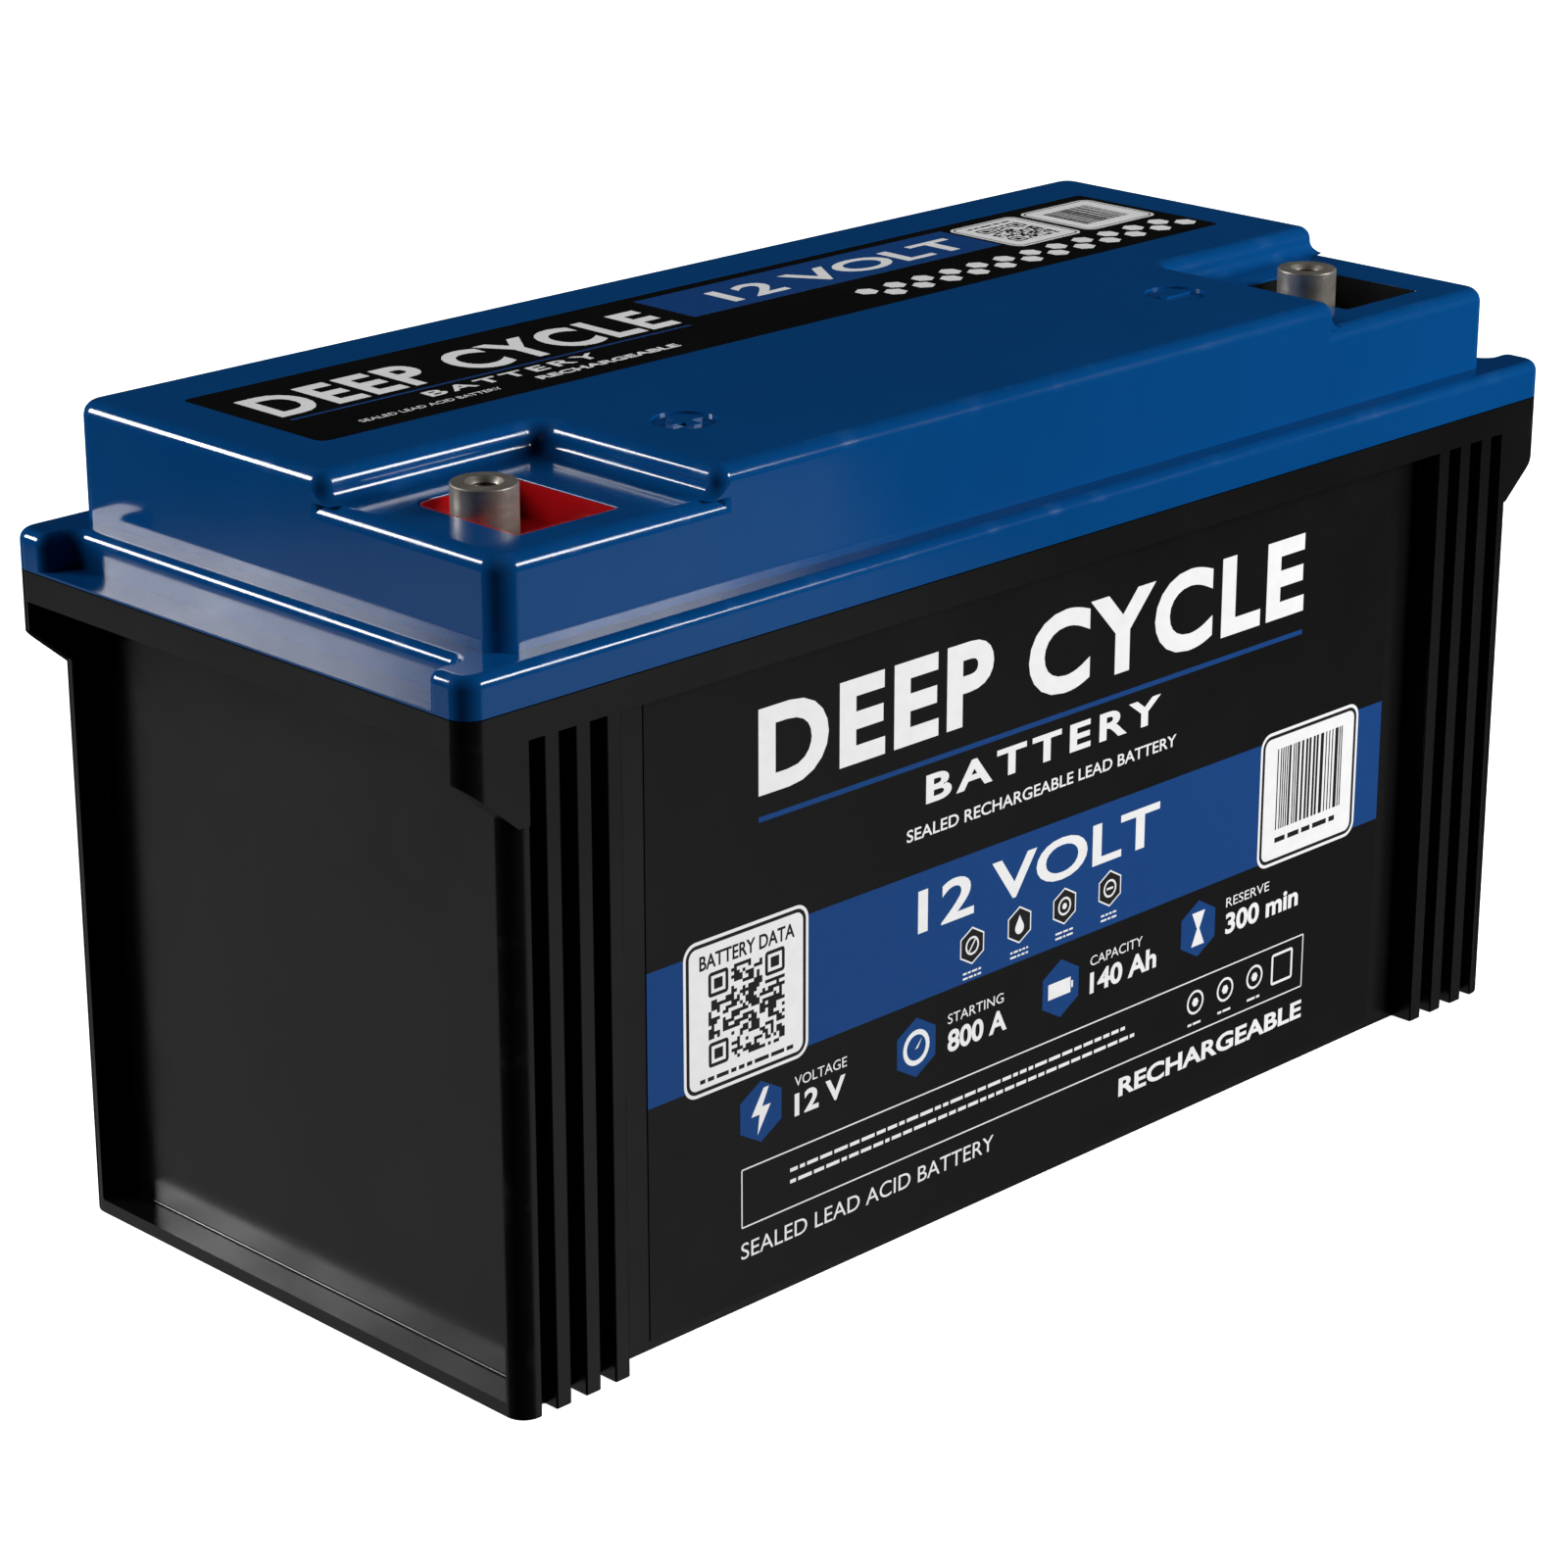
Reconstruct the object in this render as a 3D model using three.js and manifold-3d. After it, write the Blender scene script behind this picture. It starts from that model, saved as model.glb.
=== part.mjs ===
// Deep cycle battery: ribbed case, stepped lid, two threaded terminals in coloured wells,
// six relief valves under a flush cover strip, and six cells of plates inside.
// Millimetres, +Z up, origin at the centre of the footprint. The labelled face looks along -Y.
import * as THREE from 'three';
import { mergeVertices } from 'three/addons/utils/BufferGeometryUtils.js';
import Module from 'manifold-3d';

const wasm = await Module();
wasm.setup();

// ---- overall size --------------------------------------------------------------------------
const LENGTH = 410;
const WIDTH = 173;
const PARTING_Z = 181.7;      // underside of the lid
const TOP_Z = 222.4;          // main top of the lid
const HALF_L = LENGTH / 2;
const HALF_W = WIDTH / 2;
const FIT = 0.3;              // clearance left between neighbouring pieces
const CUT = 2;                // how far a cutter reaches past the face it opens
const GRID = 1000;            // coordinates snap to thousandths, so faces meant to meet do meet

// ---- case ----------------------------------------------------------------------------------
const RIM_H = 8;              // band round the top of the case
const RIM_BOTTOM_Z = PARTING_Z - FIT - RIM_H;
const RIM_R = 6;              // plan radius of rim and lid flange
const COLUMN_X = 12.3;        // corner columns stand back this far from the rim at the ends
const COLUMN_Y = 5.8;         // thickness of a corner column
const COLUMN_R = 5.5;
const EAR_LOW_Z = 165.8;      // corner ears: vertical down to here
const EAR_END_Z = 152.6;      // then sloping back into the column's rounded corner
const EAR_END_X = 15.3;
const END_PANEL_X = 21.3;     // recessed end panel
const LEDGE_H = 3.9;          // ledge along the bottom of each end
const SIDE_PANEL_Y = 6.7;     // recessed panel on the long sides
const FIN_W = 4.85;
const FIN_PITCH = 9.75;
const FIN_COUNT = 3;
const FIRST_FIN_X = 23.6;
const FIRST_GROOVE_X = 18.9;
const FIRST_GROOVE_DEPTH = 4.6;
const WALL = 3;
const FLOOR = 5;
const PARTITION = 2;
const PARTITION_TOP_Z = 170;
const CELLS = 6;
const CAVITY_X0 = END_PANEL_X + WALL;
const CAVITY_Y0 = SIDE_PANEL_Y + WALL;

// ---- lid -----------------------------------------------------------------------------------
const FLANGE_H = 10.2;
const FLANGE_FILLET = 3;
const LEDGE_T = 0.6;          // thin shelf left under each end recess of the flange
const END_RECESS = 10;        // depth of the flange recess at each end
const CORNER_BLOCK_Y = 13.9;
const BLOCK_R = 3.4;
const BODY_X = 17.8;          // raised body stands in from the flange
const BODY_Y = 7.8;           // set-back of the raised body at the front
const BODY_BACK_Y = WIDTH - 4.8;
const BODY_R = 6.5;
const TOP_H = TOP_Z - PARTING_Z;
const PLATFORM_H = 33.1;      // terminal platforms, lower than the main top
const STEP_X = 87.3;
const STEP_Y = 70.6;
const STEP_R = 4.2;
const STEP_INNER_R = 4.5;
const EDGE_FILLET = 4;
const STEP_FOOT = 3.5;        // hollow fillet where the main top rises from a platform
const LID_WALL = 3;
const TONGUE_H = 6;           // rib under the lid that locates in the case
const TONGUE_T = 2;
const HOLLOW_Z0 = 7;          // the lid opens out to its full inside from here up

// ---- terminals -----------------------------------------------------------------------------
const TERMINAL_XS = [43.6, 351.7];
const TERMINAL_Y = 41.8;
const TERMINAL_R = 8.25;
const TERMINAL_TOP = 39.8;
const TERMINAL_BASE = 13.5;
const THREAD_R = 3.5;
const THREAD_DEPTH = 14;
const COUNTERSINK = 0.8;
const FLANGE_R = 12;
const FLANGE_T = 2.5;
const WELL_BACK = 9.4;        // well edge beside the terminal, towards -X
const WELL_L = 32.3;
const WELL_W = 37.6;
const WELL_Y0 = 19.9;
const WELL_R = 1;
const WELL_ROUND_R = 4.5;     // the one generously rounded corner of each well
const WELL_FLOOR = 20.5;
const WELL_FLOOR_T = 2.5;
const WELL_WALL = 2;
const CUP_WALL = 0.6;
const CUP_FLOOR_T = 3.5;
const ORING_R = 1;
const ORING_PLAY = 0.1;       // the ring is drawn slightly slimmer than its groove
const ORING_STEPS = 12;
const POST_FOOT_X = 9;        // half size of the pillar's foot on the strap
const POST_FOOT_Y = 7;
const POST_FOOT_H = 5;

// ---- valves and their cover ----------------------------------------------------------------
const VALVE_Y = 120.2;
const COVER_X0 = 40.7;
const COVER_X1 = 369.3;
const COVER_Y0 = 97;
const COVER_Y1 = 143.5;
const COVER_T = 2;
const LABEL_T = 0.3;
const SIDE_LABEL_T = 0.2;
const SIDE_LABEL_GAP = 0.05;
const LABEL_SINK = 0.45;
const TROUGH_FLOOR = 28.7;
const TROUGH_RIM = 2;
const NECK_R = 4.5;
const NECK_H = 6;
const VENT_R = 2;
const CAP_R = 6.4;
const CAP_WALL = 1.6;
const CAP_H = 7.4;
const GRIP_RIDGES = 12;
const RIDGE_R = 0.5;
const VALVE_MARGIN = 14;      // the end valves stay this far inside the cover
const CAP_ROOM_R = CAP_R + 1; // shallow seat over each cap in the underside of the cover
const CAP_ROOM_H = 0.6;

// ---- markings ------------------------------------------------------------------------------
const MARK_XS = [112, 298.5];
const MARK_Y = 45.4;
const MARK_R = 8.4;
const MARK_DEPTH = 0.6;
const MARK_BAR = 10;
const MARK_BAR_W = 2.6;
const TOP_LABEL = [36.4, 374.6, 92.7, 147.8];
const SIDE_LABEL = [60.8, 349.2, 2.6, 171.2];

// ---- plates --------------------------------------------------------------------------------
const POSITIVE_PLATES = 7;
const POSITIVE_T = 3.2;
const NEGATIVE_T = 2.1;
const MAT_T = 1.1;
const PLATE_GAP = 0.12;
const PLATE_Y0 = 13;
const PLATE_Y1 = WIDTH - PLATE_Y0;
const PLATE_Z0 = 9;
const PLATE_Z1 = 146;
const STRAP_Z0 = 152;
const STRAP_H = 7;
const STRAP_W = 16;
const LUG_W = 10;
const FRONT_Y = TERMINAL_Y;
const BACK_Y = WIDTH - TERMINAL_Y;
const POST_R = 6.5;
const MAT_OVERHANG = 1.5;     // the mats reach past the plates
const BRIDGE_REACH = 16;      // cell connectors: half length, half gap over the partition, thickness
const BRIDGE_GAP = 5;
const BRIDGE_H = 5;
const BRIDGE_W = 14;

// ---- shape helpers -------------------------------------------------------------------------

// Joined or cut solid from a three.js geometry, with its vertices merged by position.
function solid(geometry) {
  const snapped = Float32Array.from(
    geometry.getAttribute('position').array,
    (value) => Math.round(value * GRID) / GRID,
  );
  const bare = new THREE.BufferGeometry();
  bare.setAttribute('position', new THREE.BufferAttribute(snapped, 3));
  bare.setIndex(geometry.getIndex());
  const merged = mergeVertices(bare, 1e-4);
  const mesh = new wasm.Mesh({
    numProp: 3,
    vertProperties: new Float32Array(merged.getAttribute('position').array),
    triVerts: new Uint32Array(merged.getIndex().array),
  });
  return new wasm.Manifold(mesh);
}

// Moves a point measured from the -X -Y corner of the lid to the shared origin.
function place(x, y) {
  return [x - HALF_L, y - HALF_W];
}

function box(x0, x1, y0, y1, z0, z1) {
  const geometry = new THREE.BoxGeometry(x1 - x0, y1 - y0, z1 - z0);
  const [cx, cy] = place((x0 + x1) / 2, (y0 + y1) / 2);
  geometry.translate(cx, cy, (z0 + z1) / 2);
  return solid(geometry);
}

function rod(x, y, radius, z0, z1, sides = 32) {
  const geometry = new THREE.CylinderGeometry(radius, radius, z1 - z0, sides);
  const [cx, cy] = place(x, y);
  geometry.rotateX(Math.PI / 2);
  geometry.translate(cx, cy, (z0 + z1) / 2);
  return solid(geometry);
}

function joinAll(solids) {
  return solids.reduce((sum, next) => sum.add(next));
}

function cutAll(base, cutters) {
  return cutters.reduce((left, next) => left.subtract(next), base);
}

// Right-angled outline with rounded corners, counter-clockwise. Corners are [x, y, radius].
// A positive inset shrinks the outline and a negative one grows it.
function outline(corners, inset = 0, arcSteps = 5) {
  const points = [];
  for (let i = 0; i < corners.length; i += 1) {
    const [px, py] = corners[(i + corners.length - 1) % corners.length];
    const [x, y, radius] = corners[i];
    const [nx, ny] = corners[(i + 1) % corners.length];
    const along = new THREE.Vector2(x - px, y - py).normalize();
    const onward = new THREE.Vector2(nx - x, ny - y).normalize();
    const turn = Math.sign(along.x * onward.y - along.y * onward.x);
    const r = radius - turn * inset;
    const inward = new THREE.Vector2(-along.y - onward.y, along.x + onward.x);
    const cornerX = x + inset * inward.x;
    const cornerY = y + inset * inward.y;
    const centreX = cornerX + turn * r * inward.x;
    const centreY = cornerY + turn * r * inward.y;
    const start = Math.atan2(-turn * along.x, turn * along.y);
    for (let step = 0; step <= arcSteps; step += 1) {
      const angle = start + turn * (Math.PI / 2) * (step / arcSteps);
      points.push(place(centreX + r * Math.cos(angle), centreY + r * Math.sin(angle)));
    }
  }
  return points;
}

function rectangle(x0, x1, y0, y1, radius) {
  return [[x0, y0, radius], [x1, y0, radius], [x1, y1, radius], [x0, y1, radius]];
}

// Closed body through level outlines that all have the same number of points.
function loft(levels) {
  const count = levels[0].points.length;
  const positions = [];
  for (const level of levels) {
    for (const [x, y] of level.points) {
      positions.push(x, y, level.z);
    }
  }
  const index = [];
  for (let ring = 0; ring < levels.length - 1; ring += 1) {
    for (let i = 0; i < count; i += 1) {
      const a = ring * count + i;
      const b = ring * count + ((i + 1) % count);
      index.push(a, b, b + count, a, b + count, a + count);
    }
  }
  const last = (levels.length - 1) * count;
  const flat = (points) => points.map(([x, y]) => new THREE.Vector2(x, y));
  for (const [a, b, c] of THREE.ShapeUtils.triangulateShape(flat(levels[0].points), [])) {
    index.push(c, b, a);
  }
  for (const [a, b, c] of THREE.ShapeUtils.triangulateShape(flat(levels.at(-1).points), [])) {
    index.push(last + a, last + b, last + c);
  }
  const geometry = new THREE.BufferGeometry();
  geometry.setAttribute('position', new THREE.Float32BufferAttribute(positions, 3));
  geometry.setIndex(index);
  return solid(geometry);
}

function slab(corners, z0, z1, inset = 0) {
  const points = outline(corners, inset);
  return loft([{ points, z: z0 }, { points, z: z1 }]);
}

// Slab with a rounded top edge and, when asked, a hollow fillet spreading out at its foot.
function softSlab(corners, z0, z1, topFillet, footFillet = 0, steps = 4) {
  const levels = [];
  if (footFillet > 0) {
    for (let step = 0; step < steps; step += 1) {
      const angle = (Math.PI / 2) * (step / steps);
      const spread = footFillet * (1 - Math.sin(angle));
      levels.push({
        points: outline(corners, -spread),
        z: z0 + footFillet * (1 - Math.cos(angle)),
      });
    }
    levels.push({ points: outline(corners), z: z0 + footFillet });
  } else {
    levels.push({ points: outline(corners), z: z0 });
  }
  for (let step = 0; step <= steps; step += 1) {
    const angle = (Math.PI / 2) * (step / steps);
    levels.push({
      points: outline(corners, topFillet * (1 - Math.cos(angle))),
      z: z1 - topFillet * (1 - Math.sin(angle)),
    });
  }
  return loft(levels);
}

// Ring-shaped body turned about a vertical axis from a closed profile of [radius, z] points.
function turned(x, y, profile, sides = 40) {
  const closed = [...profile, profile[0]];
  const points = closed.map(([r, z]) => new THREE.Vector2(r, z));
  const geometry = new THREE.LatheGeometry(points, sides);
  const [cx, cy] = place(x, y);
  geometry.rotateX(Math.PI / 2);
  geometry.translate(cx, cy, 0);
  return solid(geometry);
}

function mirrorX(x) {
  return LENGTH - x;
}

function mirrorY(y) {
  return WIDTH - y;
}

// ---- materials -----------------------------------------------------------------------------

function finish(colour, roughness, metalness = 0) {
  return new THREE.MeshStandardMaterial({ color: colour, roughness, metalness });
}

const CASE_BLACK = finish(0x202022, 0.22);
const LID_BLUE = finish(0x0c3a78, 0.16);
const CUP_RED = finish(0x9c0d0d, 0.3);
const CUP_BLACK = finish(0x161618, 0.3);
const COVER_BLUE = finish(0x0b3468, 0.35);
const LABEL_BLACK = finish(0x212226, 0.42);
const SEAL_BLACK = finish(0x111112, 0.75);
const CAP_RUBBER = finish(0x232323, 0.8);
const TIN = finish(0xa9a59b, 0.3, 1);
const LEAD = finish(0x70757b, 0.55, 1);
const POSITIVE_PASTE = finish(0x4a2d22, 0.9);
const NEGATIVE_PASTE = finish(0x7d8186, 0.85);
const GLASS_MAT = finish(0xe9e7de, 0.95);

// ---- case ----------------------------------------------------------------------------------

function cellSpan(cell) {
  const inside = LENGTH - 2 * CAVITY_X0;
  const width = (inside - (CELLS - 1) * PARTITION) / CELLS;
  const x0 = CAVITY_X0 + cell * (width + PARTITION);
  return [x0, x0 + width];
}

// Side plate whose top runs out to the rim as an ear and slopes back to the column.
function earPlate(flip, y0, y1) {
  const along = (x) => (flip ? mirrorX(x) : x) - HALF_L;
  const shape = new THREE.Shape();
  shape.moveTo(along(0), RIM_BOTTOM_Z + 1);
  shape.lineTo(along(0), EAR_LOW_Z);
  shape.lineTo(along(EAR_END_X), EAR_END_Z);
  shape.lineTo(along(FIRST_GROOVE_X), EAR_END_Z);
  shape.lineTo(along(FIRST_GROOVE_X), RIM_BOTTOM_Z + 1);
  shape.closePath();
  const geometry = new THREE.ExtrudeGeometry(shape, { depth: y1 - y0, bevelEnabled: false });
  geometry.rotateX(Math.PI / 2);
  geometry.translate(0, y1 - HALF_W, 0);
  return solid(geometry);
}

function sealTrack(outer, inner, z0, z1) {
  const ring = rectangle(outer[0], mirrorX(outer[0]), outer[1], mirrorY(outer[1]), 4);
  const hole = rectangle(inner[0], mirrorX(inner[0]), inner[1], mirrorY(inner[1]), 3);
  return slab(ring, z0, z1).subtract(slab(hole, z0 - CUT, z1 + CUT));
}

const SEAL_OUTER = [9, 2.8];
const SEAL_INNER = [13, 6.4];
const SEAL_DEPTH = 2.2;

function buildCase() {
  const rimTop = PARTING_Z - FIT;
  const lower = rectangle(COLUMN_X, mirrorX(COLUMN_X), 0, WIDTH, COLUMN_R);
  const band = rectangle(0, LENGTH, 0, WIDTH, RIM_R);
  const ears = [];
  for (const flip of [false, true]) {
    ears.push(earPlate(flip, 0, COLUMN_Y));
    ears.push(earPlate(flip, mirrorY(COLUMN_Y), WIDTH));
  }
  const trimmedEars = joinAll(ears).intersect(slab(band, 0, rimTop));
  const body = joinAll([slab(lower, 0, RIM_BOTTOM_Z + 1), slab(band, RIM_BOTTOM_Z, rimTop), trimmedEars]);

  const cutters = [];
  const cutSides = (x0, x1, depth) => {
    for (const [a, b] of [[x0, x1], [mirrorX(x1), mirrorX(x0)]]) {
      cutters.push(box(a, b, -CUT, depth, -CUT, RIM_BOTTOM_Z));
      cutters.push(box(a, b, mirrorY(depth), WIDTH + CUT, -CUT, RIM_BOTTOM_Z));
    }
  };
  cutSides(FIRST_GROOVE_X, FIRST_FIN_X, FIRST_GROOVE_DEPTH);
  for (let fin = 0; fin < FIN_COUNT - 1; fin += 1) {
    const x0 = FIRST_FIN_X + fin * FIN_PITCH + FIN_W;
    cutSides(x0, x0 + FIN_PITCH - FIN_W, SIDE_PANEL_Y);
  }
  const panelX = FIRST_FIN_X + (FIN_COUNT - 1) * FIN_PITCH + FIN_W;
  cutters.push(box(panelX, mirrorX(panelX), -CUT, SIDE_PANEL_Y, -CUT, RIM_BOTTOM_Z));
  cutters.push(box(panelX, mirrorX(panelX), mirrorY(SIDE_PANEL_Y), WIDTH + CUT, -CUT, RIM_BOTTOM_Z));
  for (const [a, b] of [[-CUT, END_PANEL_X], [mirrorX(END_PANEL_X), LENGTH + CUT]]) {
    cutters.push(box(a, b, COLUMN_Y, mirrorY(COLUMN_Y), LEDGE_H, RIM_BOTTOM_Z));
  }
  for (let cell = 0; cell < CELLS; cell += 1) {
    const [x0, x1] = cellSpan(cell);
    cutters.push(box(x0, x1, CAVITY_Y0, mirrorY(CAVITY_Y0), FLOOR, rimTop + CUT));
  }
  const above = [CAVITY_X0, mirrorX(CAVITY_X0), CAVITY_Y0, mirrorY(CAVITY_Y0)];
  cutters.push(box(...above, PARTITION_TOP_Z, rimTop + CUT));
  cutters.push(sealTrack(SEAL_OUTER, SEAL_INNER, rimTop - SEAL_DEPTH, rimTop + CUT));
  return cutAll(body, cutters);
}

// Bead of sealant that fills the track in the rim, just under the lid.
function buildLidSeal() {
  const outer = SEAL_OUTER.map((value) => value + FIT);
  const inner = SEAL_INNER.map((value) => value - FIT);
  const top = PARTING_Z - 0.1;
  return sealTrack(outer, inner, PARTING_Z - SEAL_DEPTH, top);
}

// ---- lid -----------------------------------------------------------------------------------

function flangeCorners() {
  const far = mirrorX(0);
  const near = CORNER_BLOCK_Y;
  const back = mirrorY(CORNER_BLOCK_Y);
  return [
    [0, 0, RIM_R], [far, 0, RIM_R], [far, near, BLOCK_R], [mirrorX(END_RECESS), near, BLOCK_R],
    [mirrorX(END_RECESS), back, BLOCK_R], [far, back, BLOCK_R], [far, WIDTH, RIM_R], [0, WIDTH, RIM_R],
    [0, back, BLOCK_R], [END_RECESS, back, BLOCK_R], [END_RECESS, near, BLOCK_R], [0, near, BLOCK_R],
  ];
}

function topCorners() {
  const x0 = BODY_X;
  const x1 = mirrorX(BODY_X);
  return [
    [STEP_X, BODY_Y, STEP_R], [mirrorX(STEP_X), BODY_Y, STEP_R],
    [mirrorX(STEP_X), STEP_Y, STEP_INNER_R], [x1, STEP_Y, STEP_R],
    [x1, BODY_BACK_Y, BODY_R], [x0, BODY_BACK_Y, BODY_R],
    [x0, STEP_Y, STEP_R], [STEP_X, STEP_Y, STEP_INNER_R],
  ];
}

function lidLevel(height) {
  return PARTING_Z + height;
}

// Well outline: three tight corners and one generously rounded, away from the label side.
function wellCorners(terminalX, grow) {
  const x0 = terminalX - WELL_BACK - grow;
  const x1 = x0 + WELL_L + 2 * grow;
  const y0 = WELL_Y0 - grow;
  const y1 = WELL_Y0 + WELL_W + grow;
  return [
    [x0, y0, WELL_R + grow], [x1, y0, WELL_R + grow],
    [x1, y1, WELL_R + grow], [x0, y1, WELL_ROUND_R + grow],
  ];
}

function lidOuter() {
  const band = rectangle(0, LENGTH, 0, WIDTH, RIM_R);
  const footprint = rectangle(BODY_X, mirrorX(BODY_X), BODY_Y, BODY_BACK_Y, BODY_R);
  const flange = softSlab(flangeCorners(), lidLevel(LEDGE_T), lidLevel(FLANGE_H), FLANGE_FILLET);
  const shelf = slab(band, PARTING_Z, lidLevel(LEDGE_T));
  const lowBody = softSlab(footprint, lidLevel(FLANGE_H), lidLevel(PLATFORM_H), EDGE_FILLET);
  const highBody = softSlab(topCorners(), lidLevel(PLATFORM_H), lidLevel(TOP_H), EDGE_FILLET, STEP_FOOT);
  const highCore = slab(topCorners(), lidLevel(FLANGE_H), lidLevel(PLATFORM_H + STEP_FOOT));
  const trimmedHigh = highBody.intersect(slab(footprint, PARTING_Z, lidLevel(TOP_H + CUT)));
  const link = slab(footprint, lidLevel(LEDGE_T), lidLevel(FLANGE_H + 1));
  return joinAll([shelf, flange, link, lowBody, highCore, trimmedHigh]);
}

function lidHollow() {
  const mouthX = CAVITY_X0 + FIT + TONGUE_T;
  const mouthY = CAVITY_Y0 + FIT + TONGUE_T;
  const mouthPlan = [mouthX, mirrorX(mouthX), mouthY, mirrorY(mouthY)];
  const mouth = box(...mouthPlan, PARTING_Z - TONGUE_H - CUT, lidLevel(HOLLOW_Z0 + 1));
  const footprint = rectangle(BODY_X, mirrorX(BODY_X), BODY_Y, BODY_BACK_Y, BODY_R);
  const low = slab(footprint, lidLevel(HOLLOW_Z0), lidLevel(PLATFORM_H - LID_WALL), LID_WALL);
  const high = slab(topCorners(), lidLevel(HOLLOW_Z0), lidLevel(TOP_H - LID_WALL), LID_WALL);
  return joinAll([mouth, low, high]).subtract(lidInnerBlocks());
}

// Everything that stays solid inside the hollow: well walls, valve trough walls, partition ribs.
function lidInnerBlocks() {
  const blocks = [];
  for (const x of TERMINAL_XS) {
    const walls = wellCorners(x, WELL_WALL);
    blocks.push(slab(walls, lidLevel(WELL_FLOOR - WELL_FLOOR_T), lidLevel(PLATFORM_H)));
  }
  const rim = TROUGH_RIM + WELL_WALL;
  const trough = [COVER_X0 - rim, COVER_X1 + rim, COVER_Y0 - rim, COVER_Y1 + rim];
  blocks.push(box(...trough, lidLevel(TROUGH_FLOOR - LID_WALL), lidLevel(TOP_H)));
  for (let cell = 0; cell < CELLS - 1; cell += 1) {
    const x0 = cellSpan(cell)[1];
    const ends = [BODY_Y + LID_WALL, BODY_BACK_Y - LID_WALL];
    blocks.push(box(x0, x0 + PARTITION, ...ends, lidLevel(0.5), lidLevel(TOP_H)));
  }
  return joinAll(blocks);
}

function signBars(x, isPlus) {
  const half = MARK_BAR / 2;
  const w = MARK_BAR_W / 2;
  const z = [lidLevel(TOP_H - MARK_DEPTH - CUT), lidLevel(TOP_H + CUT)];
  const along = box(x - half, x + half, MARK_Y - w, MARK_Y + w, ...z);
  if (!isPlus) {
    return along;
  }
  return along.add(box(x - w, x + w, MARK_Y - half, MARK_Y + half, ...z));
}

function markPocket(x, isPlus) {
  const pocket = rod(x, MARK_Y, MARK_R, lidLevel(TOP_H - MARK_DEPTH), lidLevel(TOP_H + 1), 40);
  return pocket.subtract(signBars(x, isPlus));
}

function valveX(cell) {
  const [x0, x1] = cellSpan(cell);
  const middle = (x0 + x1) / 2;
  const limit = COVER_X0 + VALVE_MARGIN;
  return Math.min(Math.max(middle, limit), mirrorX(limit));
}

function buildLid() {
  const tongueX = CAVITY_X0 + FIT;
  const tongueY = CAVITY_Y0 + FIT;
  const tongueOuter = [tongueX, mirrorX(tongueX), tongueY, mirrorY(tongueY)];
  const tongue = box(...tongueOuter, PARTING_Z - TONGUE_H, lidLevel(1));
  const cutters = [lidHollow()];
  for (const x of TERMINAL_XS) {
    cutters.push(slab(wellCorners(x, 0), lidLevel(WELL_FLOOR), lidLevel(PLATFORM_H + CUT)));
    cutters.push(rod(x, TERMINAL_Y, TERMINAL_R + FIT, lidLevel(10), lidLevel(WELL_FLOOR + 1)));
  }
  const seat = [COVER_X0 - FIT, COVER_X1 + FIT, COVER_Y0 - FIT, COVER_Y1 + FIT];
  cutters.push(box(...seat, lidLevel(TOP_H - LABEL_SINK - COVER_T - FIT), lidLevel(TOP_H + CUT)));
  const troughX = [COVER_X0 + TROUGH_RIM, COVER_X1 - TROUGH_RIM];
  const troughY = [COVER_Y0 + TROUGH_RIM, COVER_Y1 - TROUGH_RIM];
  const necks = [];
  const vents = [];
  for (let cell = 0; cell < CELLS; cell += 1) {
    const x = valveX(cell);
    necks.push(rod(x, VALVE_Y, NECK_R, lidLevel(TROUGH_FLOOR - 1), lidLevel(TROUGH_FLOOR + NECK_H)));
    vents.push(rod(x, VALVE_Y, VENT_R, lidLevel(10), lidLevel(TROUGH_FLOOR + NECK_H + 1), 20));
  }
  const trough = box(...troughX, ...troughY, lidLevel(TROUGH_FLOOR), lidLevel(TOP_H + CUT));
  cutters.push(trough.subtract(joinAll(necks)));
  cutters.push(...vents);
  const [lx0, lx1, ly0, ly1] = TOP_LABEL;
  const labelPocket = rectangle(lx0 - FIT, lx1 + FIT, ly0 - FIT, ly1 + FIT, 3);
  cutters.push(slab(labelPocket, lidLevel(TOP_H - LABEL_SINK), lidLevel(TOP_H + CUT)));
  cutters.push(markPocket(MARK_XS[0], true));
  cutters.push(markPocket(MARK_XS[1], false));
  return cutAll(lidOuter().add(tongue), cutters);
}

// ---- pieces set into the lid ---------------------------------------------------------------

function buildCover() {
  const z1 = lidLevel(TOP_H - LABEL_SINK);
  const plate = box(COVER_X0, COVER_X1, COVER_Y0, COVER_Y1, z1 - COVER_T, z1);
  const channels = [];
  for (let cell = 0; cell < CELLS; cell += 1) {
    const seat = [z1 - COVER_T - CUT, z1 - COVER_T + CAP_ROOM_H];
    channels.push(rod(valveX(cell), VALVE_Y, CAP_ROOM_R, ...seat, 24));
  }
  return cutAll(plate, channels);
}

function buildCap(cell) {
  const x = valveX(cell);
  const z0 = lidLevel(TROUGH_FLOOR + FIT);
  const z1 = z0 + CAP_H;
  const ridges = [];
  for (let ridge = 0; ridge < GRIP_RIDGES; ridge += 1) {
    const angle = (2 * Math.PI * ridge) / GRIP_RIDGES;
    const rx = x + CAP_R * Math.cos(angle);
    const ry = VALVE_Y + CAP_R * Math.sin(angle);
    ridges.push(rod(rx, ry, RIDGE_R, z0, z1 - 2 * RIDGE_R, 8));
  }
  const shell = rod(x, VALVE_Y, CAP_R, z0, z1).add(joinAll(ridges));
  return shell.subtract(rod(x, VALVE_Y, NECK_R + FIT, z0 - 1, z1 - CAP_WALL));
}

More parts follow.
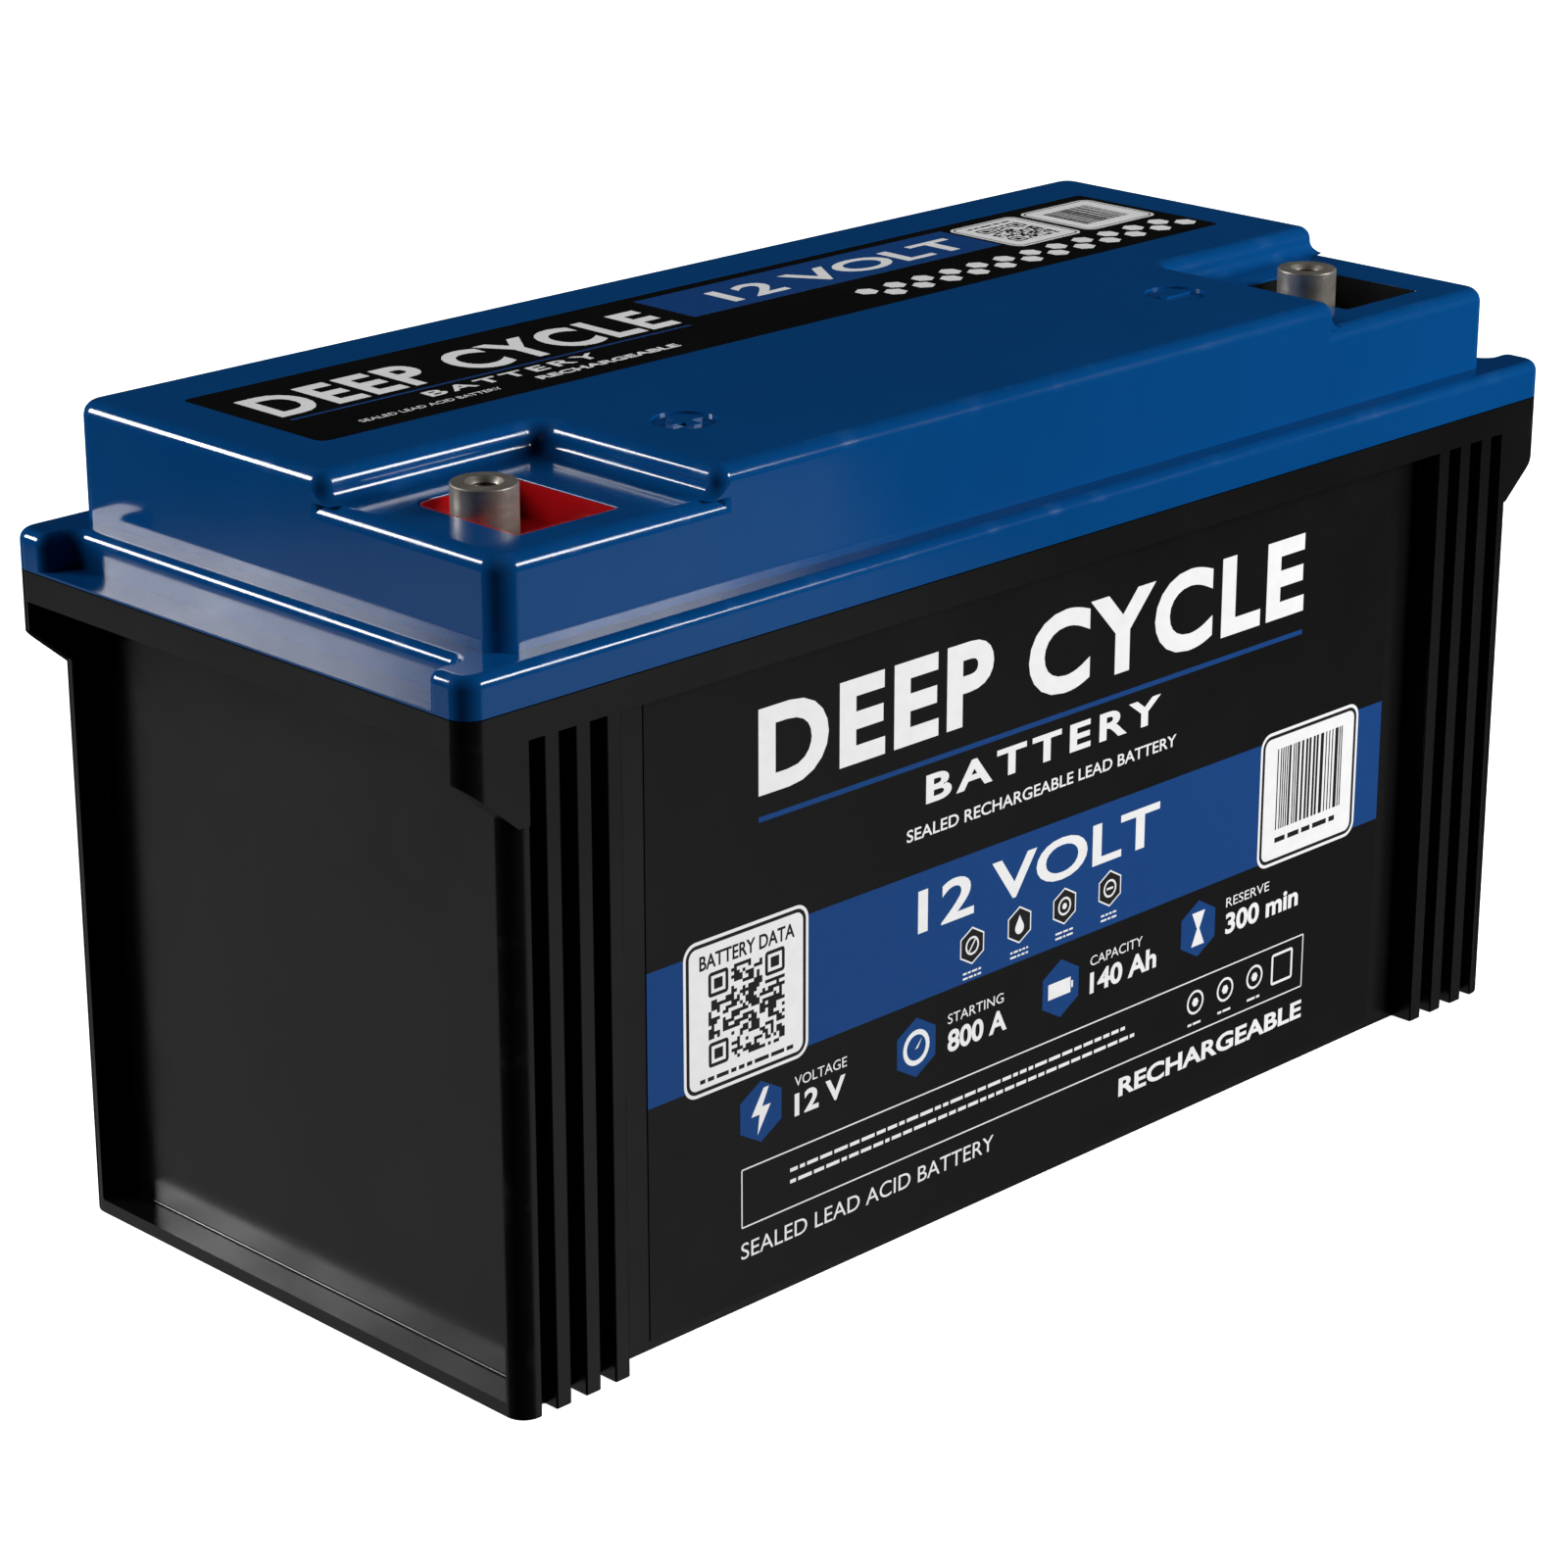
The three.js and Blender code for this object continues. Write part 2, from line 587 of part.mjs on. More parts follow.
function buildCup(terminalX) {
  const z0 = lidLevel(WELL_FLOOR + FIT);
  const z1 = lidLevel(PLATFORM_H - FIT);
  const outside = slab(wellCorners(terminalX, -FIT), z0, z1);
  const inside = slab(wellCorners(terminalX, -FIT - CUP_WALL), z0 + CUP_FLOOR_T, z1 + CUT);
  return cutAll(outside, [inside, rod(terminalX, TERMINAL_Y, TERMINAL_R + FIT, z0 - CUT, z1)]);
}

function buildTerminal(terminalX) {
  const top = lidLevel(TERMINAL_TOP);
  const base = lidLevel(TERMINAL_BASE);
  const profile = [
    [0, base], [FLANGE_R, base], [FLANGE_R, base + FLANGE_T], [TERMINAL_R, base + FLANGE_T],
    [TERMINAL_R, top - 0.4], [TERMINAL_R - 0.4, top], [THREAD_R + COUNTERSINK, top],
    [THREAD_R, top - COUNTERSINK], [THREAD_R, top - THREAD_DEPTH], [0, top - THREAD_DEPTH - 1.5],
  ];
  const points = profile.map(([r, z]) => new THREE.Vector2(r, z));
  const geometry = new THREE.LatheGeometry(points, 48);
  const [cx, cy] = place(terminalX, TERMINAL_Y);
  geometry.rotateX(Math.PI / 2);
  geometry.translate(cx, cy, 0);
  return solid(geometry);
}

function buildOring(terminalX) {
  const centre = lidLevel(TERMINAL_BASE + FLANGE_T + ORING_R + ORING_PLAY);
  const middle = TERMINAL_R + ORING_R + ORING_PLAY;
  const radius = ORING_R - ORING_PLAY;
  const profile = [];
  for (let step = 0; step < ORING_STEPS; step += 1) {
    const angle = (2 * Math.PI * step) / ORING_STEPS;
    profile.push([middle + radius * Math.cos(angle), centre + radius * Math.sin(angle)]);
  }
  return turned(terminalX, TERMINAL_Y, profile, 36);
}

// Lead pillar from the plate strap up to the underside of the terminal, offset where needed.
function buildPost(terminalX) {
  const z0 = STRAP_Z0 + STRAP_H + FIT;
  const z1 = lidLevel(TERMINAL_BASE) - FIT;
  const footX = [terminalX - POST_FOOT_X, terminalX + POST_FOOT_X];
  const footY = [FRONT_Y - POST_FOOT_Y, FRONT_Y + POST_FOOT_Y];
  const foot = box(...footX, ...footY, z0, z0 + POST_FOOT_H);
  return foot.add(rod(terminalX, TERMINAL_Y, POST_R, z0 + POST_FOOT_H / 2, z1));
}

// ---- cells ---------------------------------------------------------------------------------

function plateStarts(cell) {
  const [x0, x1] = cellSpan(cell);
  const mats = 2 * POSITIVE_PLATES;
  const stack = POSITIVE_PLATES * POSITIVE_T + (POSITIVE_PLATES + 1) * NEGATIVE_T
    + mats * (MAT_T + 2 * PLATE_GAP);
  let x = (x0 + x1 - stack) / 2;
  const starts = { positive: [], negative: [], mat: [] };
  for (let plate = 0; plate <= mats; plate += 1) {
    const isNegative = plate % 2 === 0;
    const thickness = isNegative ? NEGATIVE_T : POSITIVE_T;
    (isNegative ? starts.negative : starts.positive).push(x);
    x += thickness + PLATE_GAP;
    if (plate < mats) {
      starts.mat.push(x);
      x += MAT_T + PLATE_GAP;
    }
  }
  return starts;
}

// Plates of one polarity with their lugs, cast together under one strap.
function buildPlateGroup(starts, thickness, strapY, z0) {
  const pieces = [];
  for (const x of starts) {
    pieces.push(box(x, x + thickness, PLATE_Y0, PLATE_Y1, z0, PLATE_Z1));
    pieces.push(box(x, x + thickness, strapY - LUG_W / 2, strapY + LUG_W / 2, PLATE_Z1 - 1, STRAP_Z0 + 1));
  }
  const half = STRAP_W / 2;
  const ends = [starts[0], starts.at(-1) + thickness];
  pieces.push(box(...ends, strapY - half, strapY + half, STRAP_Z0, STRAP_Z0 + STRAP_H));
  return joinAll(pieces);
}

// Glass mats between all the plates of a cell, joined along the bottom where they fold over.
function buildMats(starts) {
  const width = [PLATE_Y0 - MAT_OVERHANG, PLATE_Y1 + MAT_OVERHANG];
  const top = PLATE_Z1 + 2 * MAT_OVERHANG;
  const pieces = starts.map((x) => box(x, x + MAT_T, ...width, FLOOR + 1, top));
  const ends = [starts[0], starts.at(-1) + MAT_T];
  pieces.push(box(...ends, ...width, FLOOR + 1, PLATE_Z0 - 1));
  return joinAll(pieces);
}

// Lead bridge over a partition, from the strap of one cell to the strap of the next.
function buildConnector(gap) {
  const y = gap % 2 === 0 ? BACK_Y : FRONT_Y;
  const middle = cellSpan(gap)[1] + PARTITION / 2;
  const z0 = STRAP_Z0 + STRAP_H + FIT;
  const across = [y - BRIDGE_W / 2, y + BRIDGE_W / 2];
  const crown = PARTITION_TOP_Z + 1;
  const legs = [
    box(middle - BRIDGE_REACH, middle - BRIDGE_GAP, ...across, z0, crown + 1),
    box(middle + BRIDGE_GAP, middle + BRIDGE_REACH, ...across, z0, crown + 1),
  ];
  const bridge = box(middle - BRIDGE_REACH, middle + BRIDGE_REACH, ...across, crown, crown + BRIDGE_H);
  return joinAll([...legs, bridge]);
}

// ---- labels --------------------------------------------------------------------------------

function buildTopLabel() {
  const [x0, x1, y0, y1] = TOP_LABEL;
  const z0 = lidLevel(TOP_H - LABEL_SINK + 0.1);
  return slab(rectangle(x0, x1, y0, y1, 2.8), z0, z0 + LABEL_T);
}

function buildSideLabel() {
  const [x0, x1, z0, z1] = SIDE_LABEL;
  const y1 = SIDE_PANEL_Y - SIDE_LABEL_GAP;
  return box(x0, x1, y1 - SIDE_LABEL_T, y1, z0, z1);
}

// ---- assembly ------------------------------------------------------------------------------

const battery = new THREE.Group();
battery.name = 'deep_cycle_battery';

function put(name, body, material) {
  const { numProp, vertProperties, triVerts } = body.getMesh();
  if (numProp !== 3) {
    throw new Error(`${name} carries more than positions`);
  }
  const geometry = new THREE.BufferGeometry();
  geometry.setAttribute('position', new THREE.BufferAttribute(new Float32Array(vertProperties), 3));
  geometry.setIndex(new THREE.BufferAttribute(new Uint32Array(triVerts), 1));
  geometry.computeVertexNormals();
  const mesh = new THREE.Mesh(geometry, material.clone());
  mesh.name = name;
  battery.add(mesh);
}

put('case', buildCase(), CASE_BLACK);
put('lid', buildLid(), LID_BLUE);
put('lid_seal', buildLidSeal(), SEAL_BLACK);
put('valve_cover', buildCover(), COVER_BLUE);
for (let cell = 0; cell < CELLS; cell += 1) {
  put(`valve_cap_${cell + 1}`, buildCap(cell), CAP_RUBBER);
}
const polarities = [['positive', CUP_RED], ['negative', CUP_BLACK]];
polarities.forEach(([polarity, cupFinish], side) => {
  const x = TERMINAL_XS[side];
  put(`terminal_cup_${polarity}`, buildCup(x), cupFinish);
  put(`terminal_${polarity}`, buildTerminal(x), TIN);
  put(`terminal_oring_${polarity}`, buildOring(x), SEAL_BLACK);
  put(`terminal_post_${polarity}`, buildPost(x), LEAD);
});
for (let cell = 0; cell < CELLS; cell += 1) {
  const starts = plateStarts(cell);
  const even = cell % 2 === 0;
  const positive = buildPlateGroup(starts.positive, POSITIVE_T, even ? FRONT_Y : BACK_Y, PLATE_Z0);
  const negative = buildPlateGroup(starts.negative, NEGATIVE_T, even ? BACK_Y : FRONT_Y, PLATE_Z0);
  put(`positive_plates_${cell + 1}`, positive, POSITIVE_PASTE);
  put(`negative_plates_${cell + 1}`, negative, NEGATIVE_PASTE);
  put(`glass_mats_${cell + 1}`, buildMats(starts.mat), GLASS_MAT);
}
for (let gap = 0; gap < CELLS - 1; gap += 1) {
  put(`cell_connector_${gap + 1}`, buildConnector(gap), LEAD);
}
put('label_top', buildTopLabel(), LABEL_BLACK);
put('label_front', buildSideLabel(), LABEL_BLACK);

export default battery;
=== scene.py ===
import math
import random

import bpy
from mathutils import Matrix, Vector


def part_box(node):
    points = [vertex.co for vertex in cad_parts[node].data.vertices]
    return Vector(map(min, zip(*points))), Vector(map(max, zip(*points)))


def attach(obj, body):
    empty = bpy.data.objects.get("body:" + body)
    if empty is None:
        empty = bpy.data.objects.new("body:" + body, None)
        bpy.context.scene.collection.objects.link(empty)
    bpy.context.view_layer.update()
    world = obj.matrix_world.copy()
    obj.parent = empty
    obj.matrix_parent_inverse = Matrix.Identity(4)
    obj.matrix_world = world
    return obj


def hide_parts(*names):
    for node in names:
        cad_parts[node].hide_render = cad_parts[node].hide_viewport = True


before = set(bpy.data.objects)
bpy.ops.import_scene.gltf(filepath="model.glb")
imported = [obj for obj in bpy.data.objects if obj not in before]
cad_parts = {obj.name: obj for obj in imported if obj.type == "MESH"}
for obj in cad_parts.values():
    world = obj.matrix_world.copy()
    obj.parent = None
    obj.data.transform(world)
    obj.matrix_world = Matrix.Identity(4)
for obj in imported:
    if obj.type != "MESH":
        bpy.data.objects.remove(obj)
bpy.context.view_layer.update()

# ---- measures, in millimetres from the -X -Y corner of the lid -----------------------------------
MM = 0.001
lid_low, lid_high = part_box("lid")
LENGTH = (lid_high.x - lid_low.x) / MM
WIDTH = (lid_high.y - lid_low.y) / MM
FIT = 0.3                   # room between pieces that fit into each other
RIM_TOP_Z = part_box("case")[1].z / MM
PARTING_Z = RIM_TOP_Z + FIT
TOP_H = lid_high.z / MM - PARTING_Z
CUT = 2.0                   # how far a cutter reaches past the solid it cuts
OVERLAP = 1.0               # how far joined solids run into each other
FINE_SIDES = 72             # sides of a circle that is seen up close

# case
RIM_H = 8.0
RIM_BOTTOM_Z = RIM_TOP_Z - RIM_H
RIM_R = 6.0
COLUMN_X = 12.3
COLUMN_Y = 5.8
COLUMN_R = 5.5
EAR_LOW_Z = 165.8
EAR_END_X = 15.3
EAR_END_Z = 152.6
END_PANEL_X = 21.3
END_PANEL_R = 1.2
END_PANEL_FOOT = 0.8
LEDGE_H = 3.9
SIDE_PANEL_Y = 6.7
FIN_W = 4.85
FIN_PITCH = 9.75
FIN_COUNT = 3
FIRST_FIN_X = 23.6
FIRST_GROOVE_X = 18.9
FIRST_GROOVE_DEPTH = 4.6
EDGE_R = 0.5                # small radius on the case's moulded edges
CASE_BOTTOM_R = 0.4
WALL = 3.0
FLOOR = 5.0
PARTITION = 2.0
PARTITION_TOP_Z = 170.0
CELLS = 6
CAVITY_X0 = END_PANEL_X + WALL
CAVITY_Y0 = SIDE_PANEL_Y + WALL
SEAL_OUTER = (9.0, 2.8, 4.0)    # x and y of its first corner, and corner radius
SEAL_INNER = (13.0, 6.4, 3.0)
SEAL_DEPTH = 2.2

# lid, with heights above the parting
FLANGE_H = 10.2
FLANGE_FILLET = 3.0
LEDGE_T = 0.6
END_RECESS = 10.0
CORNER_BLOCK_Y = 13.9
BLOCK_R = 3.4
BODY_X = 17.8
BODY_Y = 7.8
BODY_BACK_Y = WIDTH - 4.8
BODY_R = 6.5
PLATFORM_H = 33.1
STEP_X = 87.3
STEP_Y = 70.6
STEP_R = 4.2
STEP_INNER_R = 4.5
EDGE_FILLET = 4.0
STEP_FOOT = 3.5
LID_WALL = 3.0
HOLLOW_Z0 = 7.0
RIB_Z0 = 0.5
BORE_Z0 = 10.0              # where the holes for terminals and valves start, inside the hollow
TONGUE_H = 6.0
TONGUE_T = 2.0

# terminals and their wells
TERMINAL_R = 8.25
TERMINAL_TOP = 39.8
TERMINAL_BASE = 13.5
THREAD_R = 3.5
THREAD_TIP_R = 3.9
THREAD_PITCH = 1.25
THREAD_DEPTH = 14.0
DRILL_TIP = 1.5
COUNTERSINK = 0.8
FLANGE_R = 12.0
FLANGE_T = 2.5
RIM_ROUND = 0.6
WELL_BACK = 9.4
WELL_L = 32.3
WELL_W = 37.6
WELL_Y0 = 19.9
WELL_R = 1.0
WELL_ROUND_R = 4.5
WELL_FLOOR = 20.5
WELL_FLOOR_T = 2.5
WELL_WALL = 2.0
WELL_LIP = 0.5              # rounded edge round the mouth of a well
CUP_WALL = 0.6
CUP_FLOOR_T = 3.5

# valves, their cover, the top label's seat and the polarity marks
VALVE_Y = 120.2
COVER_T = 2.0
LABEL_SINK = 0.45
LABEL_SEAT_R = 3.0
TROUGH_FLOOR = 28.7
TROUGH_RIM = 2.0
NECK_R = 4.5
NECK_H = 6.0
VENT_R = 2.0
VALVE_MARGIN = 14.0
MARK_XS = (112.0, 298.5)
MARK_Y = 45.4
MARK_R = 8.4
MARK_DEPTH = 0.6
MARK_BAR = 10.0
MARK_BAR_W = 2.6


def corner_span(node):
    """A CAD node's box as (x0, x1, y0, y1, z0, z1) in the millimetres used here."""
    low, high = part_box(node)
    return (
        low.x / MM + LENGTH / 2, high.x / MM + LENGTH / 2,
        low.y / MM + WIDTH / 2, high.y / MM + WIDTH / 2,
        low.z / MM, high.z / MM,
    )


def middle(span, axis):
    return (span[2 * axis] + span[2 * axis + 1]) / 2


def grown(span, by):
    """Plan (x0, x1, y0, y1) of a span, grown on all four sides."""
    return span[0] - by, span[1] + by, span[2] - by, span[3] + by


TERMINALS = {
    side: (middle(corner_span("terminal_" + side), 0), middle(corner_span("terminal_" + side), 1))
    for side in ("positive", "negative")
}
COVER = corner_span("valve_cover")
TOP_LABEL = corner_span("label_top")
FRONT_LABEL = corner_span("label_front")

# ---- solids ---------------------------------------------------------------------------------------
FILLET_STEPS = 9
ARC_STEPS = 8


def new_object(name, verts, faces):
    """Mesh object from points in millimetres."""
    half_l, half_w = LENGTH / 2, WIDTH / 2
    mesh = bpy.data.meshes.new(name)
    mesh.from_pydata([((x - half_l) * MM, (y - half_w) * MM, z * MM) for x, y, z in verts], [], faces)
    mesh.validate()
    obj = bpy.data.objects.new(name, mesh)
    bpy.context.scene.collection.objects.link(obj)
    return obj


def outline(corners, inset=0.0, steps=ARC_STEPS):
    """Right-angled outline with rounded corners (x, y, radius), counter-clockwise, shrunk by inset."""
    points = []
    for i, (x, y, radius) in enumerate(corners):
        before = Vector(corners[i - 1][:2])
        after = Vector(corners[(i + 1) % len(corners)][:2])
        along = (Vector((x, y)) - before).normalized()
        onward = (after - Vector((x, y))).normalized()
        turn = math.copysign(1.0, along.x * onward.y - along.y * onward.x)
        r = radius - turn * inset
        inward = Vector((-along.y - onward.y, along.x + onward.x))
        centre = Vector((x, y)) + (inset + turn * r) * inward
        start = math.atan2(-turn * along.x, turn * along.y)
        for step in range(steps + 1):
            angle = start + turn * math.pi / 2 * step / steps
            points.append((centre.x + r * math.cos(angle), centre.y + r * math.sin(angle)))
    return points


def rectangle(x0, x1, y0, y1, radius=0.0):
    return [(x0, y0, radius), (x1, y0, radius), (x1, y1, radius), (x0, y1, radius)]


def loft(levels):
    """Closed body through (outline points, height) levels that all have the same number of points."""
    count = len(levels[0][0])
    verts = [(x, y, z) for points, z in levels for x, y in points]
    faces = [list(reversed(range(count)))]
    for ring in range(len(levels) - 1):
        for i in range(count):
            a = ring * count + i
            b = ring * count + (i + 1) % count
            faces.append([a, b, b + count, a + count])
    last = (len(levels) - 1) * count
    faces.append([last + i for i in range(count)])
    return new_object("solid", verts, faces)


def slab(corners, z0, z1, inset=0.0):
    points = outline(corners, inset)
    return loft([(points, z0), (points, z1)])


def box(x0, x1, y0, y1, z0, z1):
    points = [(x0, y0), (x1, y0), (x1, y1), (x0, y1)]
    return loft([(points, z0), (points, z1)])


def rod(x, y, radius, z0, z1, sides=48):
    turn = 2 * math.pi / sides
    points = [(x + radius * math.cos(turn * i), y + radius * math.sin(turn * i)) for i in range(sides)]
    return loft([(points, z0), (points, z1)])


def soft_slab(corners, z0, z1, top=0.0, foot=0.0, bottom=0.0):
    """Slab with a rounded top edge, and a hollow fillet or a rounded edge at its foot."""
    levels = []
    for step in range(FILLET_STEPS):
        angle = math.pi / 2 * step / FILLET_STEPS
        across, up = 1 - math.sin(angle), 1 - math.cos(angle)
        if foot:
            levels.append((outline(corners, -foot * across), z0 + foot * up))
        elif bottom:
            levels.append((outline(corners, bottom * across), z0 + bottom * up))
    levels.append((outline(corners), z0 + foot + bottom))
    for step in range(FILLET_STEPS + 1 if top else 1):
        angle = math.pi / 2 * step / FILLET_STEPS
        levels.append((outline(corners, top * (1 - math.cos(angle))), z1 - top * (1 - math.sin(angle))))
    return loft(levels)


def flared(corners, z0, z1, lip):
    """Cutter for a pocket whose mouth at z1 has a rounded edge."""
    levels = [(outline(corners), z0)]
    for step in range(FILLET_STEPS + 1):
        angle = math.pi / 2 * step / FILLET_STEPS
        levels.append((outline(corners, -lip * (1 - math.cos(angle))), z1 - lip * (1 - math.sin(angle))))
    levels.append((levels[-1][0], z1 + CUT))
    return loft(levels)


def apply_booleans(base, tools, operation):
    for tool in tools:
        step = base.modifiers.new(operation, "BOOLEAN")
        step.operation = operation
        step.solver = "MANIFOLD"
        step.object = tool
    bpy.context.view_layer.update()
    graph = bpy.context.evaluated_depsgraph_get()
    mesh = bpy.data.meshes.new_from_object(base.evaluated_get(graph))
    for used in (base, *tools):
        bpy.data.objects.remove(used)
    result = bpy.data.objects.new("solid", mesh)
    bpy.context.scene.collection.objects.link(result)
    return result


def join_all(solids):
    return apply_booleans(solids[0], solids[1:], "UNION")


def cut_all(base, cutters):
    return apply_booleans(base, cutters, "DIFFERENCE")


def common(base, other):
    return apply_booleans(base, [other], "INTERSECT")


def mirror_x(x):
    return LENGTH - x


def mirror_y(y):
    return WIDTH - y


def lid_level(height):
    return PARTING_Z + height


# ---- finishing a piece ------------------------------------------------------------------------------
FLAT = 0.99995
NEAR = math.cos(math.radians(35))


def set_normals(mesh):
    """Rounded edges shade smoothly into the flat faces beside them, and flat faces stay truly flat.
    The attribute edge is 1 on the rounded edges and 0 on the flat faces, for wear."""
    around = [[] for _ in mesh.vertices]
    for face in mesh.polygons:
        face.use_smooth = True
        for v in face.vertices:
            around[v].append(face.index)
    normals = [face.normal.copy() for face in mesh.polygons]
    areas = [face.area for face in mesh.polygons]
    flat = [max(abs(n.x), abs(n.y), abs(n.z)) > FLAT for n in normals]
    loops = []
    for face in mesh.polygons:
        own = normals[face.index]
        for v in face.vertices:
            if flat[face.index]:
                loops.append(own)
                continue
            planes = [normals[f] for f in around[v] if flat[f] and normals[f].dot(own) > NEAR]
            if planes:
                loops.append(max(planes, key=own.dot))
                continue
            total = Vector((0, 0, 0))
            for f in around[v]:
                if not flat[f] and normals[f].dot(own) > NEAR:
                    total += normals[f] * areas[f]
            loops.append(total.normalized() if total.length > 0 else own)
    edge = mesh.attributes.new("edge", "FLOAT", "POINT")
    edge.data.foreach_set("value", [0.0 if any(flat[f] for f in faces) else 1.0 for faces in around])
    mesh.normals_split_custom_set(loops)


def piece(obj, name, finish, body="battery", replaces=(), shaded=True):
    obj.name = name
    obj.data.name = name
    obj.data.materials.clear()
    obj.data.materials.append(finish)
    if shaded:
        set_normals(obj.data)
    if replaces:
        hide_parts(*replaces)
    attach(obj, body)
    return obj


# ---- materials --------------------------------------------------------------------------------------
class Finish:
    """Principled material, with short calls for the nodes that vary it over the surface."""

    def __init__(self, name, **sockets):
        self.material = bpy.data.materials.new(name)
        self.material.use_nodes = True
        self.tree = self.material.node_tree
        self.shader = self.tree.nodes["Principled BSDF"]
        self.place = self.tree.nodes.new("ShaderNodeTexCoord").outputs["Object"]
        for socket, value in sockets.items():
            self.shader.inputs[socket.replace("_", " ")].default_value = value

    def node(self, kind, inputs, **settings):
        made = self.tree.nodes.new(kind)
        for key, value in settings.items():
            setattr(made, key, value)
        for key, value in inputs.items():
            if isinstance(value, bpy.types.NodeSocket):
                self.tree.links.new(value, made.inputs[key])
            else:
                made.inputs[key].default_value = value
        return made

    def noise(self, scale, detail=4.0, stretch=None):
        place = self.place
        if stretch:
            place = self.node("ShaderNodeMapping", {"Vector": place, "Scale": stretch}).outputs[0]
        inputs = {"Vector": place, "Scale": scale, "Detail": detail}
        return self.node("ShaderNodeTexNoise", inputs).outputs[0]

    def remap(self, value, low, high, to_low, to_high):
        inputs = {"Value": value, "From Min": low, "From Max": high, "To Min": to_low, "To Max": to_high}
        return self.node("ShaderNodeMapRange", inputs).outputs[0]

    def times(self, a, b):
        return self.node("ShaderNodeMath", {0: a, 1: b}, operation="MULTIPLY").outputs[0]

    def mix(self, factor, a, b):
        return self.node("ShaderNodeMix", {0: factor, 6: a, 7: b}, data_type="RGBA").outputs[2]

    def add(self, a, b):
        return self.node("ShaderNodeMath", {0: a, 1: b}, operation="ADD").outputs[0]

    def worn_edges(self, scale):
        edge = self.node("ShaderNodeAttribute", {}, attribute_name="edge").outputs["Fac"]
        return self.times(edge, self.remap(self.noise(scale, 6.0), 0.55, 0.75, 0.0, 1.0))

    def link(self, socket, value):
        self.tree.links.new(value, self.shader.inputs[socket])

    def relief(self, height, depth_mm, strength=1.0):
        inputs = {"Height": height, "Distance": depth_mm * MM, "Strength": strength}
        bump = self.node("ShaderNodeBump", inputs)
        self.link("Normal", bump.outputs[0])


def grey(value):
    return (value, value, value, 1.0)


def moulded_plastic(name, colour, worn, roughness, level, grain_mm=0.006, streak=0.0):
    """Injection-moulded plastic: faint flow marks, fine grain, smudges in the gloss, rubbed edges."""
    f = Finish(name, Specular_IOR_Level=level)
    flow = f.remap(f.noise(18.0, 3.0, (1.0, 1.0, 0.25)), 0.3, 0.7, 0.0, 1.0)
    paler = tuple(c * 1.1 + 0.0004 for c in colour[:3]) + (1.0,)
    base = f.mix(flow, colour, paler)
    wear = f.worn_edges(90.0)
    f.link("Base Color", f.mix(f.times(wear, 0.35), base, worn))
    smudges = f.remap(f.noise(30.0, 5.0), 0.35, 0.7, roughness[0], roughness[1])
    f.link("Roughness", f.add(smudges, f.times(wear, 0.1)))
    grain = f.noise(1400.0, 2.0)
    waves = f.times(f.noise(22.0, 2.0), streak)
    f.relief(f.add(grain, waves), grain_mm, 0.6)
    return f


CASE_BLACK, CASE_WORN = (0.0038, 0.0038, 0.004, 1), grey(0.03)
LID_BLUE, LID_WORN = (0.0012, 0.047, 0.17, 1), (0.02, 0.09, 0.26, 1)
COVER_BLUE, COVER_WORN = (0.004, 0.03, 0.1, 1), (0.02, 0.08, 0.2, 1)
WELL_RED, WELL_RED_WORN = (0.36, 0.004, 0.006, 1), (0.5, 0.02, 0.02, 1)
WELL_BLACK, WELL_BLACK_WORN = grey(0.006), grey(0.03)

CASE_PLASTIC = moulded_plastic("case_plastic", CASE_BLACK, CASE_WORN, (0.2, 0.3), 0.56, 0.008)
LID_PLASTIC = moulded_plastic("lid_plastic", LID_BLUE, LID_WORN, (0.08, 0.14), 0.5, 0.002)
COVER_PLASTIC = moulded_plastic("cover_plastic", COVER_BLUE, COVER_WORN, (0.25, 0.4), 0.5)
CUP_RED = moulded_plastic("cup_red", WELL_RED, WELL_RED_WORN, (0.16, 0.26), 0.5)
CUP_BLACK = moulded_plastic("cup_black", WELL_BLACK, WELL_BLACK_WORN, (0.2, 0.32), 0.4)


def rubber(name, colour):
    f = Finish(name, Specular_IOR_Level=0.3)
    f.link("Base Color", f.mix(f.noise(220.0, 5.0), grey(colour), grey(colour * 2.2)))
    f.link("Roughness", f.remap(f.noise(90.0), 0.3, 0.7, 0.6, 0.85))
    f.relief(f.noise(1800.0, 3.0), 0.02)
    return f


def turned_tin():
    """Tin-plated brass: fine turning lines round the axis, dull patches of oxide, a little pitting."""
    f = Finish("terminal_metal", Metallic=0.78)
    patches = f.remap(f.noise(160.0, 6.0), 0.4, 0.72, 0.0, 1.0)
    f.link("Base Color", f.mix(patches, (0.44, 0.405, 0.36, 1), (0.24, 0.215, 0.185, 1)))
    lines = f.noise(260.0, 3.0, (0.6, 0.6, 9.0))
    f.link("Roughness", f.add(f.remap(lines, 0.3, 0.7, 0.36, 0.46), f.times(patches, 0.1)))
    pits = f.remap(f.noise(900.0, 2.0), 0.58, 0.7, 0.0, -1.0)
    f.relief(f.add(lines, pits), 0.02, 0.5)
    return f


def cast_lead():
    f = Finish("lead", Metallic=1.0)
    oxide = f.remap(f.noise(120.0, 8.0), 0.35, 0.65, 0.0, 1.0)
    f.link("Base Color", f.mix(oxide, (0.2, 0.21, 0.225, 1), (0.1, 0.105, 0.115, 1)))
    f.link("Roughness", f.remap(oxide, 0.0, 1.0, 0.38, 0.7))
    f.relief(f.noise(500.0, 6.0), 0.08)
    return f


